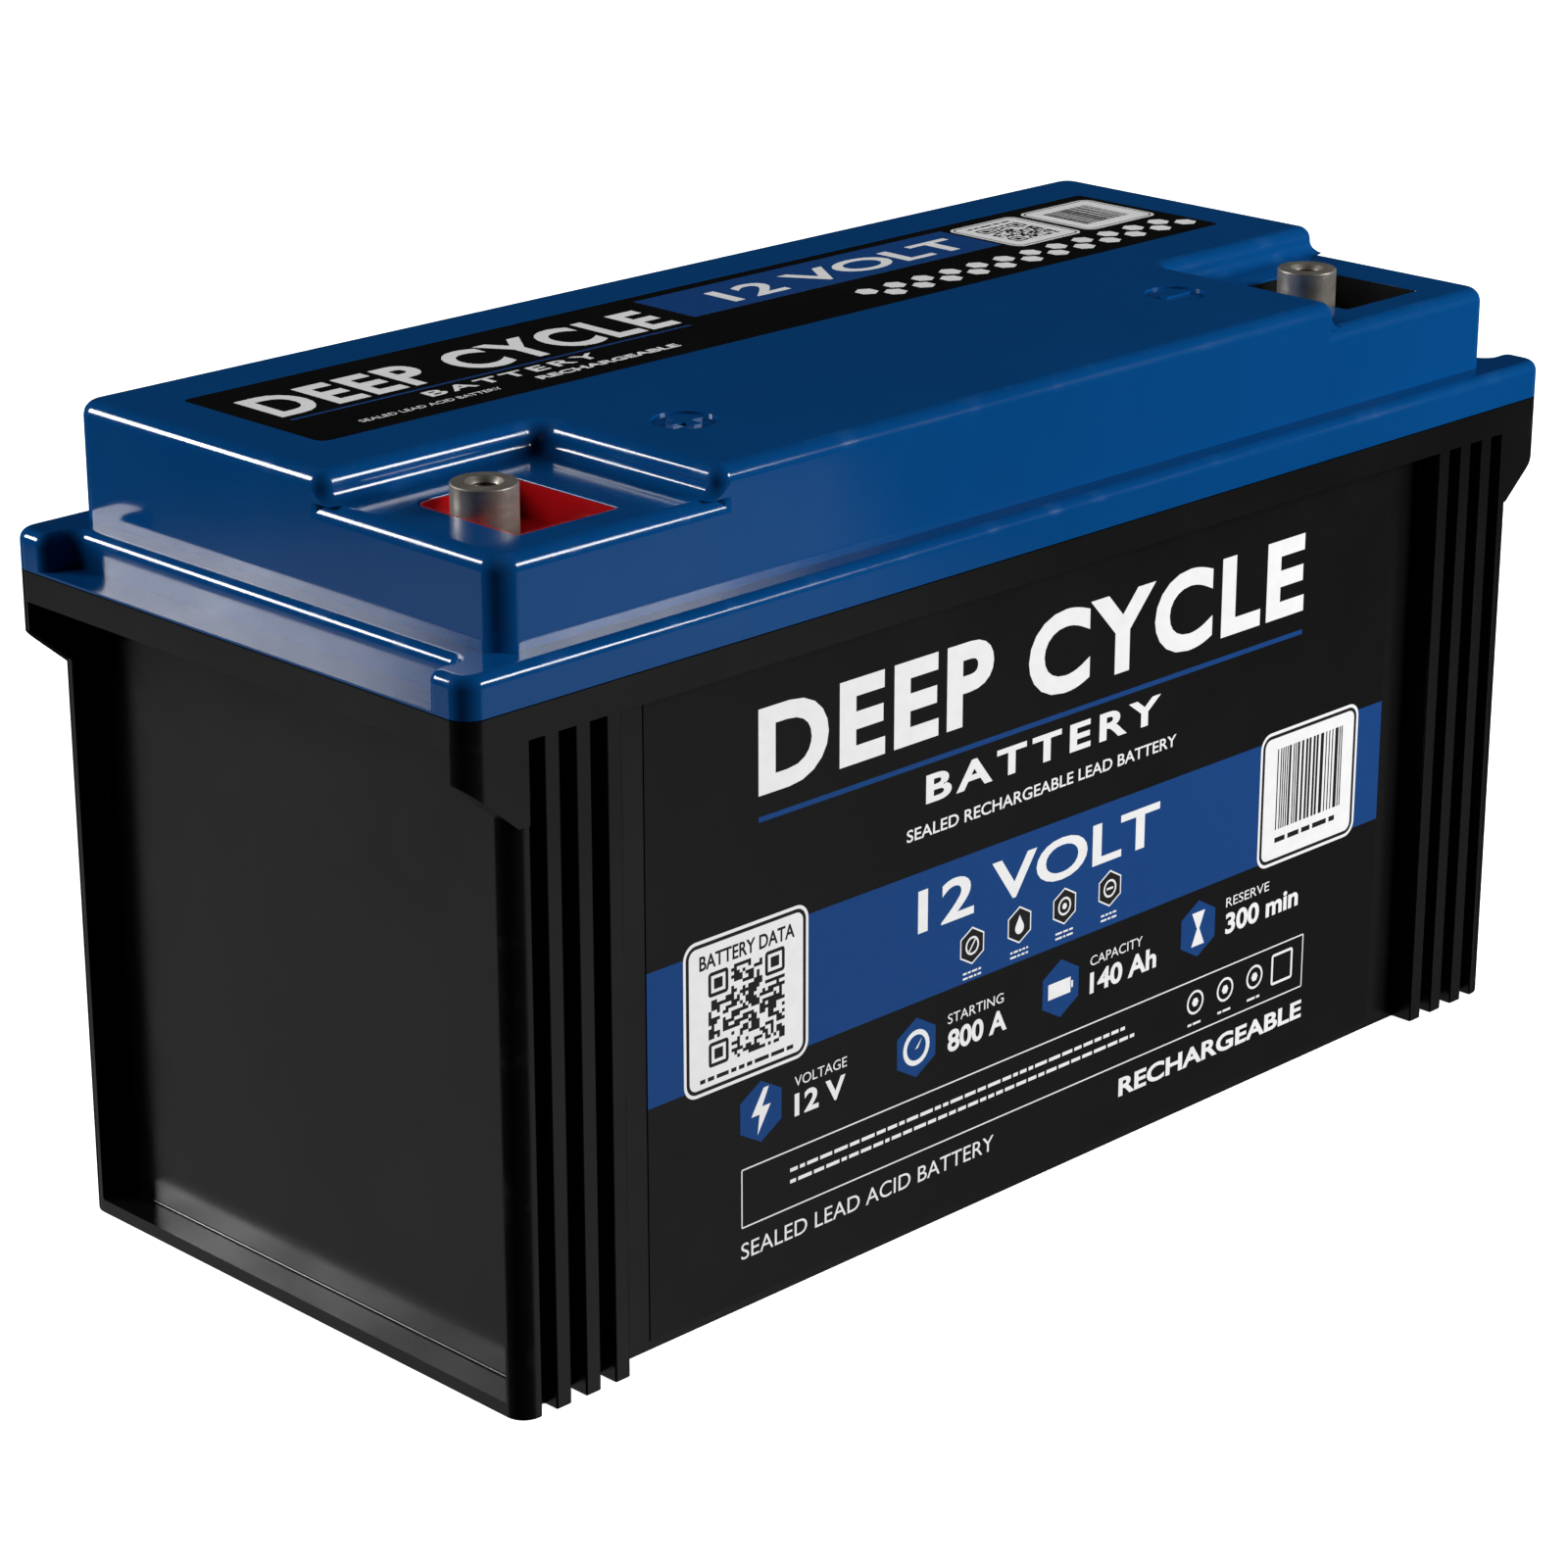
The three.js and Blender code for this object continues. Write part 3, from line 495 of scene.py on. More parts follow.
def plate_paste(name, colour, darker):
    """Pasted grid: the lead lattice shows faintly through a crumbly surface."""
    f = Finish(name, Specular_IOR_Level=0.25)
    crumbs = f.noise(900.0, 8.0)
    lattice = f.node(
        "ShaderNodeTexBrick",
        {"Vector": f.place, "Scale": 90.0, "Mortar Size": 0.06, "Color1": grey(0.0), "Color2": grey(0.0),
         "Mortar": grey(1.0)},
    ).outputs["Color"]
    body = f.mix(crumbs, colour, darker)
    f.link("Base Color", f.mix(f.times(lattice, 0.35), body, (0.18, 0.18, 0.19, 1)))
    f.link("Roughness", f.remap(crumbs, 0.3, 0.7, 0.8, 0.97))
    f.relief(f.add(crumbs, lattice), 0.15)
    return f


def glass_fibre():
    f = Finish("glass_mat", Specular_IOR_Level=0.3, Sheen_Weight=0.2)
    fibres = f.noise(700.0, 8.0, (1.0, 0.15, 1.0))
    crossing = f.noise(700.0, 8.0, (1.0, 1.0, 0.15))
    both = f.add(f.times(fibres, 0.5), f.times(crossing, 0.5))
    f.link("Base Color", f.mix(both, (0.58, 0.57, 0.52, 1), (0.86, 0.85, 0.8, 1)))
    f.link("Roughness", f.remap(both, 0.3, 0.7, 0.85, 1.0))
    f.relief(both, 0.1)
    return f


def printed(name, colour, roughness=0.34, level=0.35):
    """Ink on a label film: slight mottle in the ink and a satin film with fine orange peel."""
    f = Finish(name, Specular_IOR_Level=level)
    mottle = f.noise(260.0, 5.0)
    darker = tuple(c * 0.86 for c in colour[:3]) + (1.0,)
    f.link("Base Color", f.mix(mottle, darker, colour))
    f.link("Roughness", f.remap(f.noise(45.0, 4.0), 0.3, 0.7, roughness - 0.05, roughness + 0.07))
    f.relief(f.noise(1100.0, 2.0), 0.003, 0.5)
    return f


CAP_RUBBER = rubber("cap_rubber", 0.014)
SEALANT = rubber("sealant", 0.008)
TERMINAL_METAL = turned_tin()
LEAD = cast_lead()
POSITIVE_PASTE = plate_paste("positive_paste", (0.085, 0.035, 0.02, 1), (0.04, 0.016, 0.01, 1))
NEGATIVE_PASTE = plate_paste("negative_paste", (0.24, 0.25, 0.265, 1), (0.13, 0.135, 0.145, 1))
GLASS_MAT = glass_fibre()
LABEL_BLACK = printed("label_black", grey(0.003), 0.3, 0.5)
INK_BLUE = printed("ink_blue", (0.008, 0.05, 0.19, 1))
INK_WHITE = printed("ink_white", (0.82, 0.82, 0.82, 1))
INK_DARK = printed("ink_dark", grey(0.012))

CAD_FINISHES = {
    "valve_cover": COVER_PLASTIC,
    "valve_cap_": CAP_RUBBER,
    "lid_seal": SEALANT,
    "terminal_oring_": SEALANT,
    "terminal_post_": LEAD,
    "cell_connector_": LEAD,
    "positive_plates_": POSITIVE_PASTE,
    "negative_plates_": NEGATIVE_PASTE,
    "glass_mats_": GLASS_MAT,
    "label_": LABEL_BLACK,
}


def dress_cad_nodes():
    for name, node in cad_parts.items():
        for prefix, finish in CAD_FINISHES.items():
            if name.startswith(prefix):
                for slot in node.material_slots:
                    slot.material = finish.material


# ---- case -------------------------------------------------------------------------------------------
def cell_span(cell):
    width = (LENGTH - 2 * CAVITY_X0 - (CELLS - 1) * PARTITION) / CELLS
    x0 = CAVITY_X0 + cell * (width + PARTITION)
    return x0, x0 + width


def case_plan():
    """Plan of the case below the rim: corner columns, fins beside them, recessed long sides."""
    quarter = [(COLUMN_X, 0.0, COLUMN_R)]

    def groove(x0, x1, depth):
        quarter.extend([(x0, 0.0, EDGE_R), (x0, depth, EDGE_R), (x1, depth, EDGE_R), (x1, 0.0, EDGE_R)])

    groove(FIRST_GROOVE_X, FIRST_FIN_X, FIRST_GROOVE_DEPTH)
    for fin in range(FIN_COUNT - 1):
        x0 = FIRST_FIN_X + fin * FIN_PITCH + FIN_W
        groove(x0, x0 + FIN_PITCH - FIN_W, SIDE_PANEL_Y)
    panel_x = FIRST_FIN_X + (FIN_COUNT - 1) * FIN_PITCH + FIN_W
    quarter.extend([(panel_x, 0.0, EDGE_R), (panel_x, SIDE_PANEL_Y, EDGE_R)])
    front = quarter + [(mirror_x(x), y, r) for x, y, r in reversed(quarter)]
    return front + [(x, mirror_y(y), r) for x, y, r in reversed(front)]


def ear_plate(flip, y0, y1):
    """Side plate whose top runs out to the rim as an ear and slopes back to the column."""
    profile = [
        (0.0, RIM_BOTTOM_Z + OVERLAP), (0.0, EAR_LOW_Z), (EAR_END_X, EAR_END_Z),
        (FIRST_GROOVE_X, EAR_END_Z), (FIRST_GROOVE_X, RIM_BOTTOM_Z + OVERLAP),
    ]
    points = [(mirror_x(x) if flip else x, z) for x, z in profile]
    count = len(points)
    verts = [(x, y0, z) for x, z in points] + [(x, y1, z) for x, z in points]
    faces = [list(range(count)), list(reversed(range(count, 2 * count)))]
    for i in range(count):
        j = (i + 1) % count
        faces.append([j, i, i + count, j + count])
    if flip:
        faces = [list(reversed(face)) for face in faces]
    return new_object("solid", verts, faces)


def centred(x, y, radius):
    """Rectangle from its first corner, centred on the battery."""
    return rectangle(x, mirror_x(x), y, mirror_y(y), radius)


def seal_track(outer, inner, z0, z1):
    ring = slab(centred(*outer), z0, z1)
    return cut_all(ring, [slab(centred(*inner), z0 - CUT, z1 + CUT)])


def build_case():
    lower = soft_slab(case_plan(), 0.0, RIM_BOTTOM_Z + OVERLAP, bottom=CASE_BOTTOM_R)
    band_plan = rectangle(0.0, LENGTH, 0.0, WIDTH, RIM_R)
    band = slab(band_plan, RIM_BOTTOM_Z, RIM_TOP_Z)
    ears = []
    for flip in (False, True):
        ears.append(ear_plate(flip, 0.0, COLUMN_Y))
        ears.append(ear_plate(flip, mirror_y(COLUMN_Y), WIDTH))
    trimmed = common(join_all(ears), slab(band_plan, 0.0, RIM_TOP_Z - OVERLAP))
    body = join_all([lower, band, trimmed])
    cutters = []
    for x0, x1 in ((-CUT, END_PANEL_X), (mirror_x(END_PANEL_X), LENGTH + CUT)):
        plan = rectangle(x0, x1, COLUMN_Y, mirror_y(COLUMN_Y), END_PANEL_R)
        cutters.append(soft_slab(plan, LEDGE_H, RIM_BOTTOM_Z, bottom=END_PANEL_FOOT))
    for cell in range(CELLS):
        x0, x1 = cell_span(cell)
        cutters.append(box(x0, x1, CAVITY_Y0, mirror_y(CAVITY_Y0), FLOOR, RIM_TOP_Z + CUT))
    above = (CAVITY_X0, mirror_x(CAVITY_X0), CAVITY_Y0, mirror_y(CAVITY_Y0))
    cutters.append(box(*above, PARTITION_TOP_Z, RIM_TOP_Z + CUT))
    cutters.append(seal_track(SEAL_OUTER, SEAL_INNER, RIM_TOP_Z - SEAL_DEPTH, RIM_TOP_Z + CUT))
    return cut_all(body, cutters)


# ---- lid --------------------------------------------------------------------------------------------
def flange_corners():
    """Plan of the flange: its ends are recessed between the four corner blocks."""
    near, back = CORNER_BLOCK_Y, mirror_y(CORNER_BLOCK_Y)
    far, notch = LENGTH, mirror_x(END_RECESS)
    return [
        (0, 0, RIM_R), (far, 0, RIM_R), (far, near, BLOCK_R), (notch, near, BLOCK_R),
        (notch, back, BLOCK_R), (far, back, BLOCK_R), (far, WIDTH, RIM_R), (0, WIDTH, RIM_R),
        (0, back, BLOCK_R), (END_RECESS, back, BLOCK_R), (END_RECESS, near, BLOCK_R), (0, near, BLOCK_R),
    ]


def top_corners():
    """Plan of the main top, which leaves a terminal platform free at each front corner."""
    x0, x1, back = BODY_X, mirror_x(BODY_X), BODY_BACK_Y
    return [
        (STEP_X, BODY_Y, STEP_R), (mirror_x(STEP_X), BODY_Y, STEP_R),
        (mirror_x(STEP_X), STEP_Y, STEP_INNER_R), (x1, STEP_Y, STEP_R),
        (x1, back, BODY_R), (x0, back, BODY_R), (x0, STEP_Y, STEP_R), (STEP_X, STEP_Y, STEP_INNER_R),
    ]


def well_corners(terminal_x, grow):
    """Plan of the well beside a terminal, with one round corner, grown on all sides."""
    x0 = terminal_x - WELL_BACK - grow
    x1 = x0 + WELL_L + 2 * grow
    y0 = WELL_Y0 - grow
    y1 = WELL_Y0 + WELL_W + grow
    tight, round_r = WELL_R + grow, WELL_ROUND_R + grow
    return [(x0, y0, tight), (x1, y0, tight), (x1, y1, tight), (x0, y1, round_r)]


def lid_outer():
    band = rectangle(0, LENGTH, 0, WIDTH, RIM_R)
    footprint = rectangle(BODY_X, mirror_x(BODY_X), BODY_Y, BODY_BACK_Y, BODY_R)
    flange = soft_slab(flange_corners(), lid_level(LEDGE_T), lid_level(FLANGE_H), FLANGE_FILLET)
    shelf = slab(band, PARTING_Z, lid_level(LEDGE_T))
    low = soft_slab(footprint, lid_level(FLANGE_H), lid_level(PLATFORM_H), EDGE_FILLET)
    high = soft_slab(top_corners(), lid_level(PLATFORM_H), lid_level(TOP_H), EDGE_FILLET, foot=STEP_FOOT)
    core = slab(top_corners(), lid_level(FLANGE_H), lid_level(PLATFORM_H + STEP_FOOT))
    trimmed_high = common(high, slab(footprint, PARTING_Z, lid_level(TOP_H + CUT)))
    link = slab(footprint, lid_level(LEDGE_T / 2), lid_level(FLANGE_H + OVERLAP))
    return join_all([shelf, flange, link, low, core, trimmed_high])


def lid_inner_blocks():
    """What stays solid inside the hollow: well walls, valve trough walls, partition ribs."""
    blocks = []
    well_z0, well_z1 = lid_level(WELL_FLOOR - WELL_FLOOR_T), lid_level(PLATFORM_H)
    for x, _ in TERMINALS.values():
        blocks.append(slab(well_corners(x, WELL_WALL), well_z0, well_z1))
    trough = grown(COVER, TROUGH_RIM + WELL_WALL)
    blocks.append(box(*trough, lid_level(TROUGH_FLOOR - LID_WALL), lid_level(TOP_H)))
    for cell in range(CELLS - 1):
        x0 = cell_span(cell)[1]
        ends = (BODY_Y + LID_WALL, BODY_BACK_Y - LID_WALL)
        blocks.append(box(x0, x0 + PARTITION, *ends, lid_level(RIB_Z0), lid_level(TOP_H)))
    return join_all(blocks)


def lid_hollow():
    """Room inside the lid, open at the bottom, less the blocks that stand in it."""
    x0 = CAVITY_X0 + FIT + TONGUE_T
    y0 = CAVITY_Y0 + FIT + TONGUE_T
    heights = (PARTING_Z - TONGUE_H - CUT, lid_level(HOLLOW_Z0 + OVERLAP))
    mouth = box(x0, mirror_x(x0), y0, mirror_y(y0), *heights)
    footprint = rectangle(BODY_X, mirror_x(BODY_X), BODY_Y, BODY_BACK_Y, BODY_R)
    low = slab(footprint, lid_level(HOLLOW_Z0), lid_level(PLATFORM_H - LID_WALL), LID_WALL)
    high = slab(top_corners(), lid_level(HOLLOW_Z0), lid_level(TOP_H - LID_WALL), LID_WALL)
    return cut_all(join_all([mouth, low, high]), [lid_inner_blocks()])


def mark_pocket(x, is_plus):
    """Shallow round pocket that leaves a plus or minus sign standing."""
    half, w = MARK_BAR / 2, MARK_BAR_W / 2
    z0, z1 = lid_level(TOP_H - MARK_DEPTH - CUT), lid_level(TOP_H + CUT)
    bars = [box(x - half, x + half, MARK_Y - w, MARK_Y + w, z0, z1)]
    if is_plus:
        bars.append(box(x - w, x + w, MARK_Y - half, MARK_Y + half, z0, z1))
    levels = (lid_level(TOP_H - MARK_DEPTH), lid_level(TOP_H + OVERLAP))
    pocket = rod(x, MARK_Y, MARK_R, *levels, FINE_SIDES)
    return cut_all(pocket, [join_all(bars)])


def valve_x(cell):
    x0, x1 = cell_span(cell)
    limit = COVER[0] + VALVE_MARGIN
    return min(max((x0 + x1) / 2, limit), mirror_x(limit))


def build_lid():
    x0, y0 = CAVITY_X0 + FIT, CAVITY_Y0 + FIT
    tongue = box(x0, mirror_x(x0), y0, mirror_y(y0), PARTING_Z - TONGUE_H, lid_level(OVERLAP))
    cutters = [lid_hollow()]
    well_z0, well_z1 = lid_level(WELL_FLOOR), lid_level(PLATFORM_H)
    for x, y in TERMINALS.values():
        cutters.append(flared(well_corners(x, 0), well_z0, well_z1, WELL_LIP))
        cutters.append(rod(x, y, TERMINAL_R + FIT, lid_level(BORE_Z0), well_z0 + OVERLAP))
    seat = grown(COVER, FIT)
    cutters.append(box(*seat, lid_level(TOP_H - LABEL_SINK - COVER_T - FIT), lid_level(TOP_H + CUT)))
    trough = grown(COVER, -TROUGH_RIM)
    necks = []
    neck_top = TROUGH_FLOOR + NECK_H
    for cell in range(CELLS):
        x = valve_x(cell)
        necks.append(rod(x, VALVE_Y, NECK_R, lid_level(TROUGH_FLOOR - OVERLAP), lid_level(neck_top)))
        cutters.append(rod(x, VALVE_Y, VENT_R, lid_level(BORE_Z0), lid_level(neck_top + OVERLAP), 24))
    cutters.append(cut_all(box(*trough, lid_level(TROUGH_FLOOR), lid_level(TOP_H + CUT)), necks))
    label = rectangle(*grown(TOP_LABEL, FIT), LABEL_SEAT_R)
    cutters.append(slab(label, lid_level(TOP_H - LABEL_SINK), lid_level(TOP_H + CUT)))
    cutters.append(mark_pocket(MARK_XS[0], True))
    cutters.append(mark_pocket(MARK_XS[1], False))
    return cut_all(join_all([lid_outer(), tongue]), cutters)


def build_cup(terminal_x, terminal_y):
    z0, z1 = lid_level(WELL_FLOOR + FIT), lid_level(PLATFORM_H - FIT)
    outside = slab(well_corners(terminal_x, -FIT), z0, z1)
    inside = soft_slab(well_corners(terminal_x, -FIT - CUP_WALL), z0 + CUP_FLOOR_T, z1 + CUT)
    hole = rod(terminal_x, terminal_y, TERMINAL_R + FIT, z0 - CUT, z1, FINE_SIDES)
    return cut_all(outside, [inside, hole])


def build_terminal(terminal_x, terminal_y, sides=96):
    """Turned terminal: flange below, rounded rim, countersunk bore with rings for its thread."""
    top, base = lid_level(TERMINAL_TOP), lid_level(TERMINAL_BASE)
    profile = [(0.0, base), (FLANGE_R, base), (FLANGE_R, base + FLANGE_T), (TERMINAL_R, base + FLANGE_T)]
    for step in range(FILLET_STEPS + 1):
        angle = math.pi / 2 * step / FILLET_STEPS
        r = TERMINAL_R - RIM_ROUND * (1 - math.cos(angle))
        profile.append((r, top - RIM_ROUND * (1 - math.sin(angle))))
    profile.append((THREAD_TIP_R + COUNTERSINK, top))
    z = top - COUNTERSINK
    while z > top - THREAD_DEPTH:
        profile.append((THREAD_TIP_R, z))
        profile.append((THREAD_R, z - THREAD_PITCH / 2))
        z -= THREAD_PITCH
    profile.append((THREAD_R, top - THREAD_DEPTH))
    profile.append((0.0, top - THREAD_DEPTH - DRILL_TIP))
    ring = profile[1:-1]
    verts, faces = [(terminal_x, terminal_y, profile[0][1])], []
    for r, height in ring:
        for i in range(sides):
            angle = 2 * math.pi * i / sides
            verts.append((terminal_x + r * math.cos(angle), terminal_y + r * math.sin(angle), height))
    verts.append((terminal_x, terminal_y, profile[-1][1]))
    for i in range(sides):
        j = (i + 1) % sides
        faces.append([0, 1 + j, 1 + i])
        for level in range(len(ring) - 1):
            a = 1 + level * sides
            faces.append([a + i, a + j, a + j + sides, a + i + sides])
        a = 1 + (len(ring) - 1) * sides
        faces.append([a + i, a + j, len(verts) - 1])
    return new_object("solid", verts, faces)


# ---- printed artwork ----------------------------------------------------------------------------------
INK = 0.02                  # thickness of one ink layer
PRINT, OVER, TOP_INK, ICON_INK = 1, 2, 3, 4
CODE_CORNER = 8             # squares kept clear for each corner frame of a grid code


class Artwork:
    """Thin closed plates of ink on one label, in layers from PRINT outwards.
    Points are (u, v) to the right and up on the label, and spans are (u0, u1, v0, v1)."""

    def __init__(self, spot):
        self.spot = spot
        self.inks = {"white": ([], []), "blue": ([], []), "dark": ([], [])}

    def store(self, ink, verts, faces):
        all_verts, all_faces = self.inks[ink]
        start = len(all_verts)
        all_verts.extend(self.spot(*v) for v in verts)
        all_faces.extend([start + i for i in face] for face in faces)

    def plate(self, ink, points, layer=PRINT):
        count = len(points)
        verts = [(u, v, depth * INK) for depth in (layer, layer + 1) for u, v in points]
        faces = [list(reversed(range(count))), list(range(count, 2 * count))]
        for i in range(count):
            j = (i + 1) % count
            faces.append([i, j, j + count, i + count])
        self.store(ink, verts, faces)

    def ring(self, ink, outer, inner, layer=PRINT):
        """Plate between two outlines with the same number of points."""
        count = len(outer)
        verts = []
        for depth in (layer, layer + 1):
            verts.extend((u, v, depth * INK) for u, v in outer + inner)
        faces = []
        for i in range(count):
            j = (i + 1) % count
            faces.append([2 * count + i, 2 * count + j, 3 * count + j, 3 * count + i])
            faces.append([j, i, count + i, count + j])
            faces.append([i, j, 2 * count + j, 2 * count + i])
            faces.append([count + j, count + i, 3 * count + i, 3 * count + j])
        self.store(ink, verts, faces)

    def bar(self, ink, span, layer=PRINT, slant=0.0):
        u0, u1, v0, v1 = span
        lean = slant * (v1 - v0)
        self.plate(ink, [(u0, v0), (u1, v0), (u1 + lean, v1), (u0 + lean, v1)], layer)

    def card(self, ink, span, radius, layer=PRINT):
        self.plate(ink, outline(rectangle(*span, radius)), layer)

    def frame(self, ink, span, radius, line, layer=PRINT):
        corners = rectangle(*span, radius)
        self.ring(ink, outline(corners), outline(corners, line), layer)

    def circle(self, u, v, radius, sides=24, turn=0.0):
        step = 2 * math.pi / sides
        return [
            (u + radius * math.cos(turn + step * i), v + radius * math.sin(turn + step * i))
            for i in range(sides)
        ]

    def hexagon(self, ink, u, v, radius, layer=PRINT):
        self.plate(ink, self.circle(u, v, radius, 6, math.pi / 6), layer)

    def dashes(self, ink, u0, u1, v, height, draw, layer=PRINT):
        """Row of small print too fine to read, as short bars."""
        u = u0
        while u < u1 - height:
            width = min(draw.uniform(1.5, 5.0) * height, u1 - u)
            self.bar(ink, (u, u + width, v, v + height), layer)
            u += width + 0.8 * height

    def letters(self, ink, text, span, bold=0.0, spacing=1.0, layer=PRINT):
        """Generic words in a plain upright face, fitted to a span."""
        curve = bpy.data.curves.new("letters", "FONT")
        curve.body = text
        curve.offset = bold
        curve.space_character = spacing
        curve.extrude = 0.5
        curve.resolution_u = 5
        obj = bpy.data.objects.new("letters", curve)
        bpy.context.scene.collection.objects.link(obj)
        bpy.context.view_layer.update()
        graph = bpy.context.evaluated_depsgraph_get()
        mesh = bpy.data.meshes.new_from_object(obj.evaluated_get(graph))
        low = [min(v.co[i] for v in mesh.vertices) for i in range(2)]
        high = [max(v.co[i] for v in mesh.vertices) for i in range(2)]
        u0, u1, v0, v1 = span
        wide = (u1 - u0) / (high[0] - low[0])
        tall = (v1 - v0) / (high[1] - low[1])
        verts = []
        for vertex in mesh.vertices:
            x, y, z = vertex.co
            verts.append((u0 + (x - low[0]) * wide, v0 + (y - low[1]) * tall, (layer + 0.5 + z) * INK))
        self.store(ink, verts, [list(p.vertices) for p in mesh.polygons])
        bpy.data.objects.remove(obj)
        bpy.data.meshes.remove(mesh)

    def grid_code(self, span, count, draw):
        """Random squares that encode nothing, with a plain framed square in three of the corners."""
        u0, u1, v0, v1 = span
        du, dv = (u1 - u0) / count, (v1 - v0) / count
        for row in range(count):
            column = 0
            while column < count:
                run = min(draw.choice((1, 1, 1, 2)), count - column)
                u, v = u0 + column * du, v0 + row * dv
                ends = column < CODE_CORNER or column + run > count - CODE_CORNER
                low_right = row < CODE_CORNER and column >= CODE_CORNER
                in_corner = ends and (row < CODE_CORNER or row >= count - CODE_CORNER) and not low_right
                if draw.random() < 0.5 and not in_corner:
                    self.bar("dark", (u, u + run * du, v, v + dv), TOP_INK)
                column += run
        size_u, size_v = (CODE_CORNER - 1) * du, (CODE_CORNER - 1) * dv
        for u, v in ((u0, v0), (u0, v1 - size_v), (u1 - size_u, v1 - size_v)):
            self.frame("dark", (u, u + size_u, v, v + size_v), du, du, TOP_INK)
            core = (u + 2 * du, u + size_u - 2 * du, v + 2 * dv, v + size_v - 2 * dv)
            self.card("dark", core, du / 4, TOP_INK)

    def line_code(self, span, count, draw):
        """Random upright bars that encode nothing."""
        u0, u1, v0, v1 = span
        unit = (u1 - u0) / count
        at = 0
        while at < count:
            width = min(draw.choice((1, 1, 2, 3)), count - at)
            self.bar("dark", (u0 + at * unit, u0 + (at + width) * unit, v0, v1), TOP_INK)
            at += width + draw.choice((1, 1, 2, 2))

    def framed_card(self, span, radius, inset, inner_radius, line):
        """White card with a dark line just inside its edge."""
        u0, u1, v0, v1 = span
        self.card("white", span, radius, OVER)
        inner = (u0 + inset, u1 - inset, v0 + inset, v1 - inset)
        self.frame("dark", inner, inner_radius, line, TOP_INK)

    def build(self, name, inks):
        for ink, (verts, faces) in self.inks.items():
            if verts:
                made = new_object(name, verts, faces)
                piece(made, f"{name}_{ink}", inks[ink].material, shaded=False)


def bolt(art, u, v, size=6.2):
    shape = (
        (0.15, 1.0), (-0.55, -0.12), (-0.08, -0.12), (-0.2, -1.0),
        (0.55, 0.2), (0.06, 0.2), (0.45, 1.0),
    )
    art.plate("white", [(u + size * a, v + size * b) for a, b in shape], OVER)


def gauge(art, u, v, size=5.0):
    art.ring("white", art.circle(u, v, size), art.circle(u, v, size * 0.72), OVER)
    needle = ((-0.1, -0.1), (0.12, -0.05), (0.45, 0.5))
    art.plate("white", [(u + size * a, v + size * b) for a, b in needle], OVER)


def battery_cell(art, u, v, size=5.0):
    art.bar("white", (u - size, u + 0.8 * size, v - 0.45 * size, v + 0.45 * size), OVER)
    art.bar("white", (u + 0.85 * size, u + size, v - 0.2 * size, v + 0.2 * size), OVER)


def hourglass(art, u, v, size=5.0):
    w, waist = 0.55 * size, 0.1 * size
    art.plate("white", [(u - w, v - size), (u + w, v - size), (u + waist, v), (u - waist, v)], OVER)
    art.plate("white", [(u - waist, v), (u + waist, v), (u + w, v + size), (u - w, v + size)], OVER)


def ring_icon(art, u, v):
    art.ring("white", art.circle(u, v, 2.6), art.circle(u, v, 2.0), ICON_INK)


def crossed_icon(art, u, v):
    ring_icon(art, u, v)
    art.bar("white", (u - 1.6, u - 1.0, v - 1.6, v + 1.6), ICON_INK, slant=0.8)


def drop_icon(art, u, v, size=2.8, steps=12):
    points = [(u, v + size)]
    for step in range(steps + 1):
        angle = math.radians(30 - 240 * step / steps)
        reach = 0.62 * size
        points.append((u + reach * math.cos(angle), v - 0.3 * size + reach * math.sin(angle)))
    art.plate("white", list(reversed(points)), ICON_INK)


def dotted_icon(art, u, v):
    ring_icon(art, u, v)
    art.plate("white", art.circle(u, v, 0.9, 12), ICON_INK)


def barred_icon(art, u, v):
    ring_icon(art, u, v)
    art.bar("white", (u - 1.3, u + 1.3, v - 0.3, v + 0.3), ICON_INK)


TITLE = "DEEP CYCLE"
STRIPE = (65.7, 101.5)
SMALL_ICONS = (
    (177.3, 75.6, crossed_icon),
    (195.7, 76.2, drop_icon),
    (213.6, 76.5, dotted_icon),
    (232.0, 76.5, barred_icon),
)
BADGES = (
    (99.6, 53.0, "VOLTAGE", "12 V", bolt),
    (156.4, 53.0, "STARTING", "800 A", gauge),
    (212.8, 53.0, "CAPACITY", "140 Ah", battery_cell),
    (270.1, 54.0, "RESERVE", "300 min", hourglass),
)
BADGE_TEXT = 12.0           # from the middle of a badge to its words
NAME_PITCH = 2.7            # width of one character
VALUE_PITCH = 4.6
DATA_CARD = (73, 116.4, 63.5, 105)
DATA_CODE = (81.5, 108, 70.3, 95.6)
BAR_CARD = (295, 338.5, 64, 104)
BAR_CODE = (302.5, 331.5, 74.5, 98.5)
NOTICE = (92.6, 317.7, 22.6, 39.0)
NOTICE_RING = (270, 31.9)
NOTICE_PITCH = 13
TOP_DATA_CARD = (310.5, 338.5, 113.5, 142.5)
TOP_DATA_CODE = (315.5, 333.5, 118.5, 136)
TOP_BAR_CARD = (341, 371.5, 113.5, 142.5)
TOP_BAR_CODE = (346.5, 366, 119.5, 137)
DOTS = (240.5, 107.0)       # first dot of the double row on the top label
DOT_PITCH = 11.2
DOT_DROP = 5.7
DOT_R = 3.4
DOT_COUNT = 12


def front_heading(art):
    art.letters("white", TITLE, (99, 311, 137, 160), bold=0.035, spacing=1.12)
    art.bar("blue", (99, 311, 130.4, 131.8))
    art.letters("white", "BATTERY", (159, 251, 119.6, 127.4), bold=0.03, spacing=1.3)
    art.letters("white", "SEALED RECHARGEABLE LEAD BATTERY", (152, 258, 110.8, 114.2), bold=0.012)


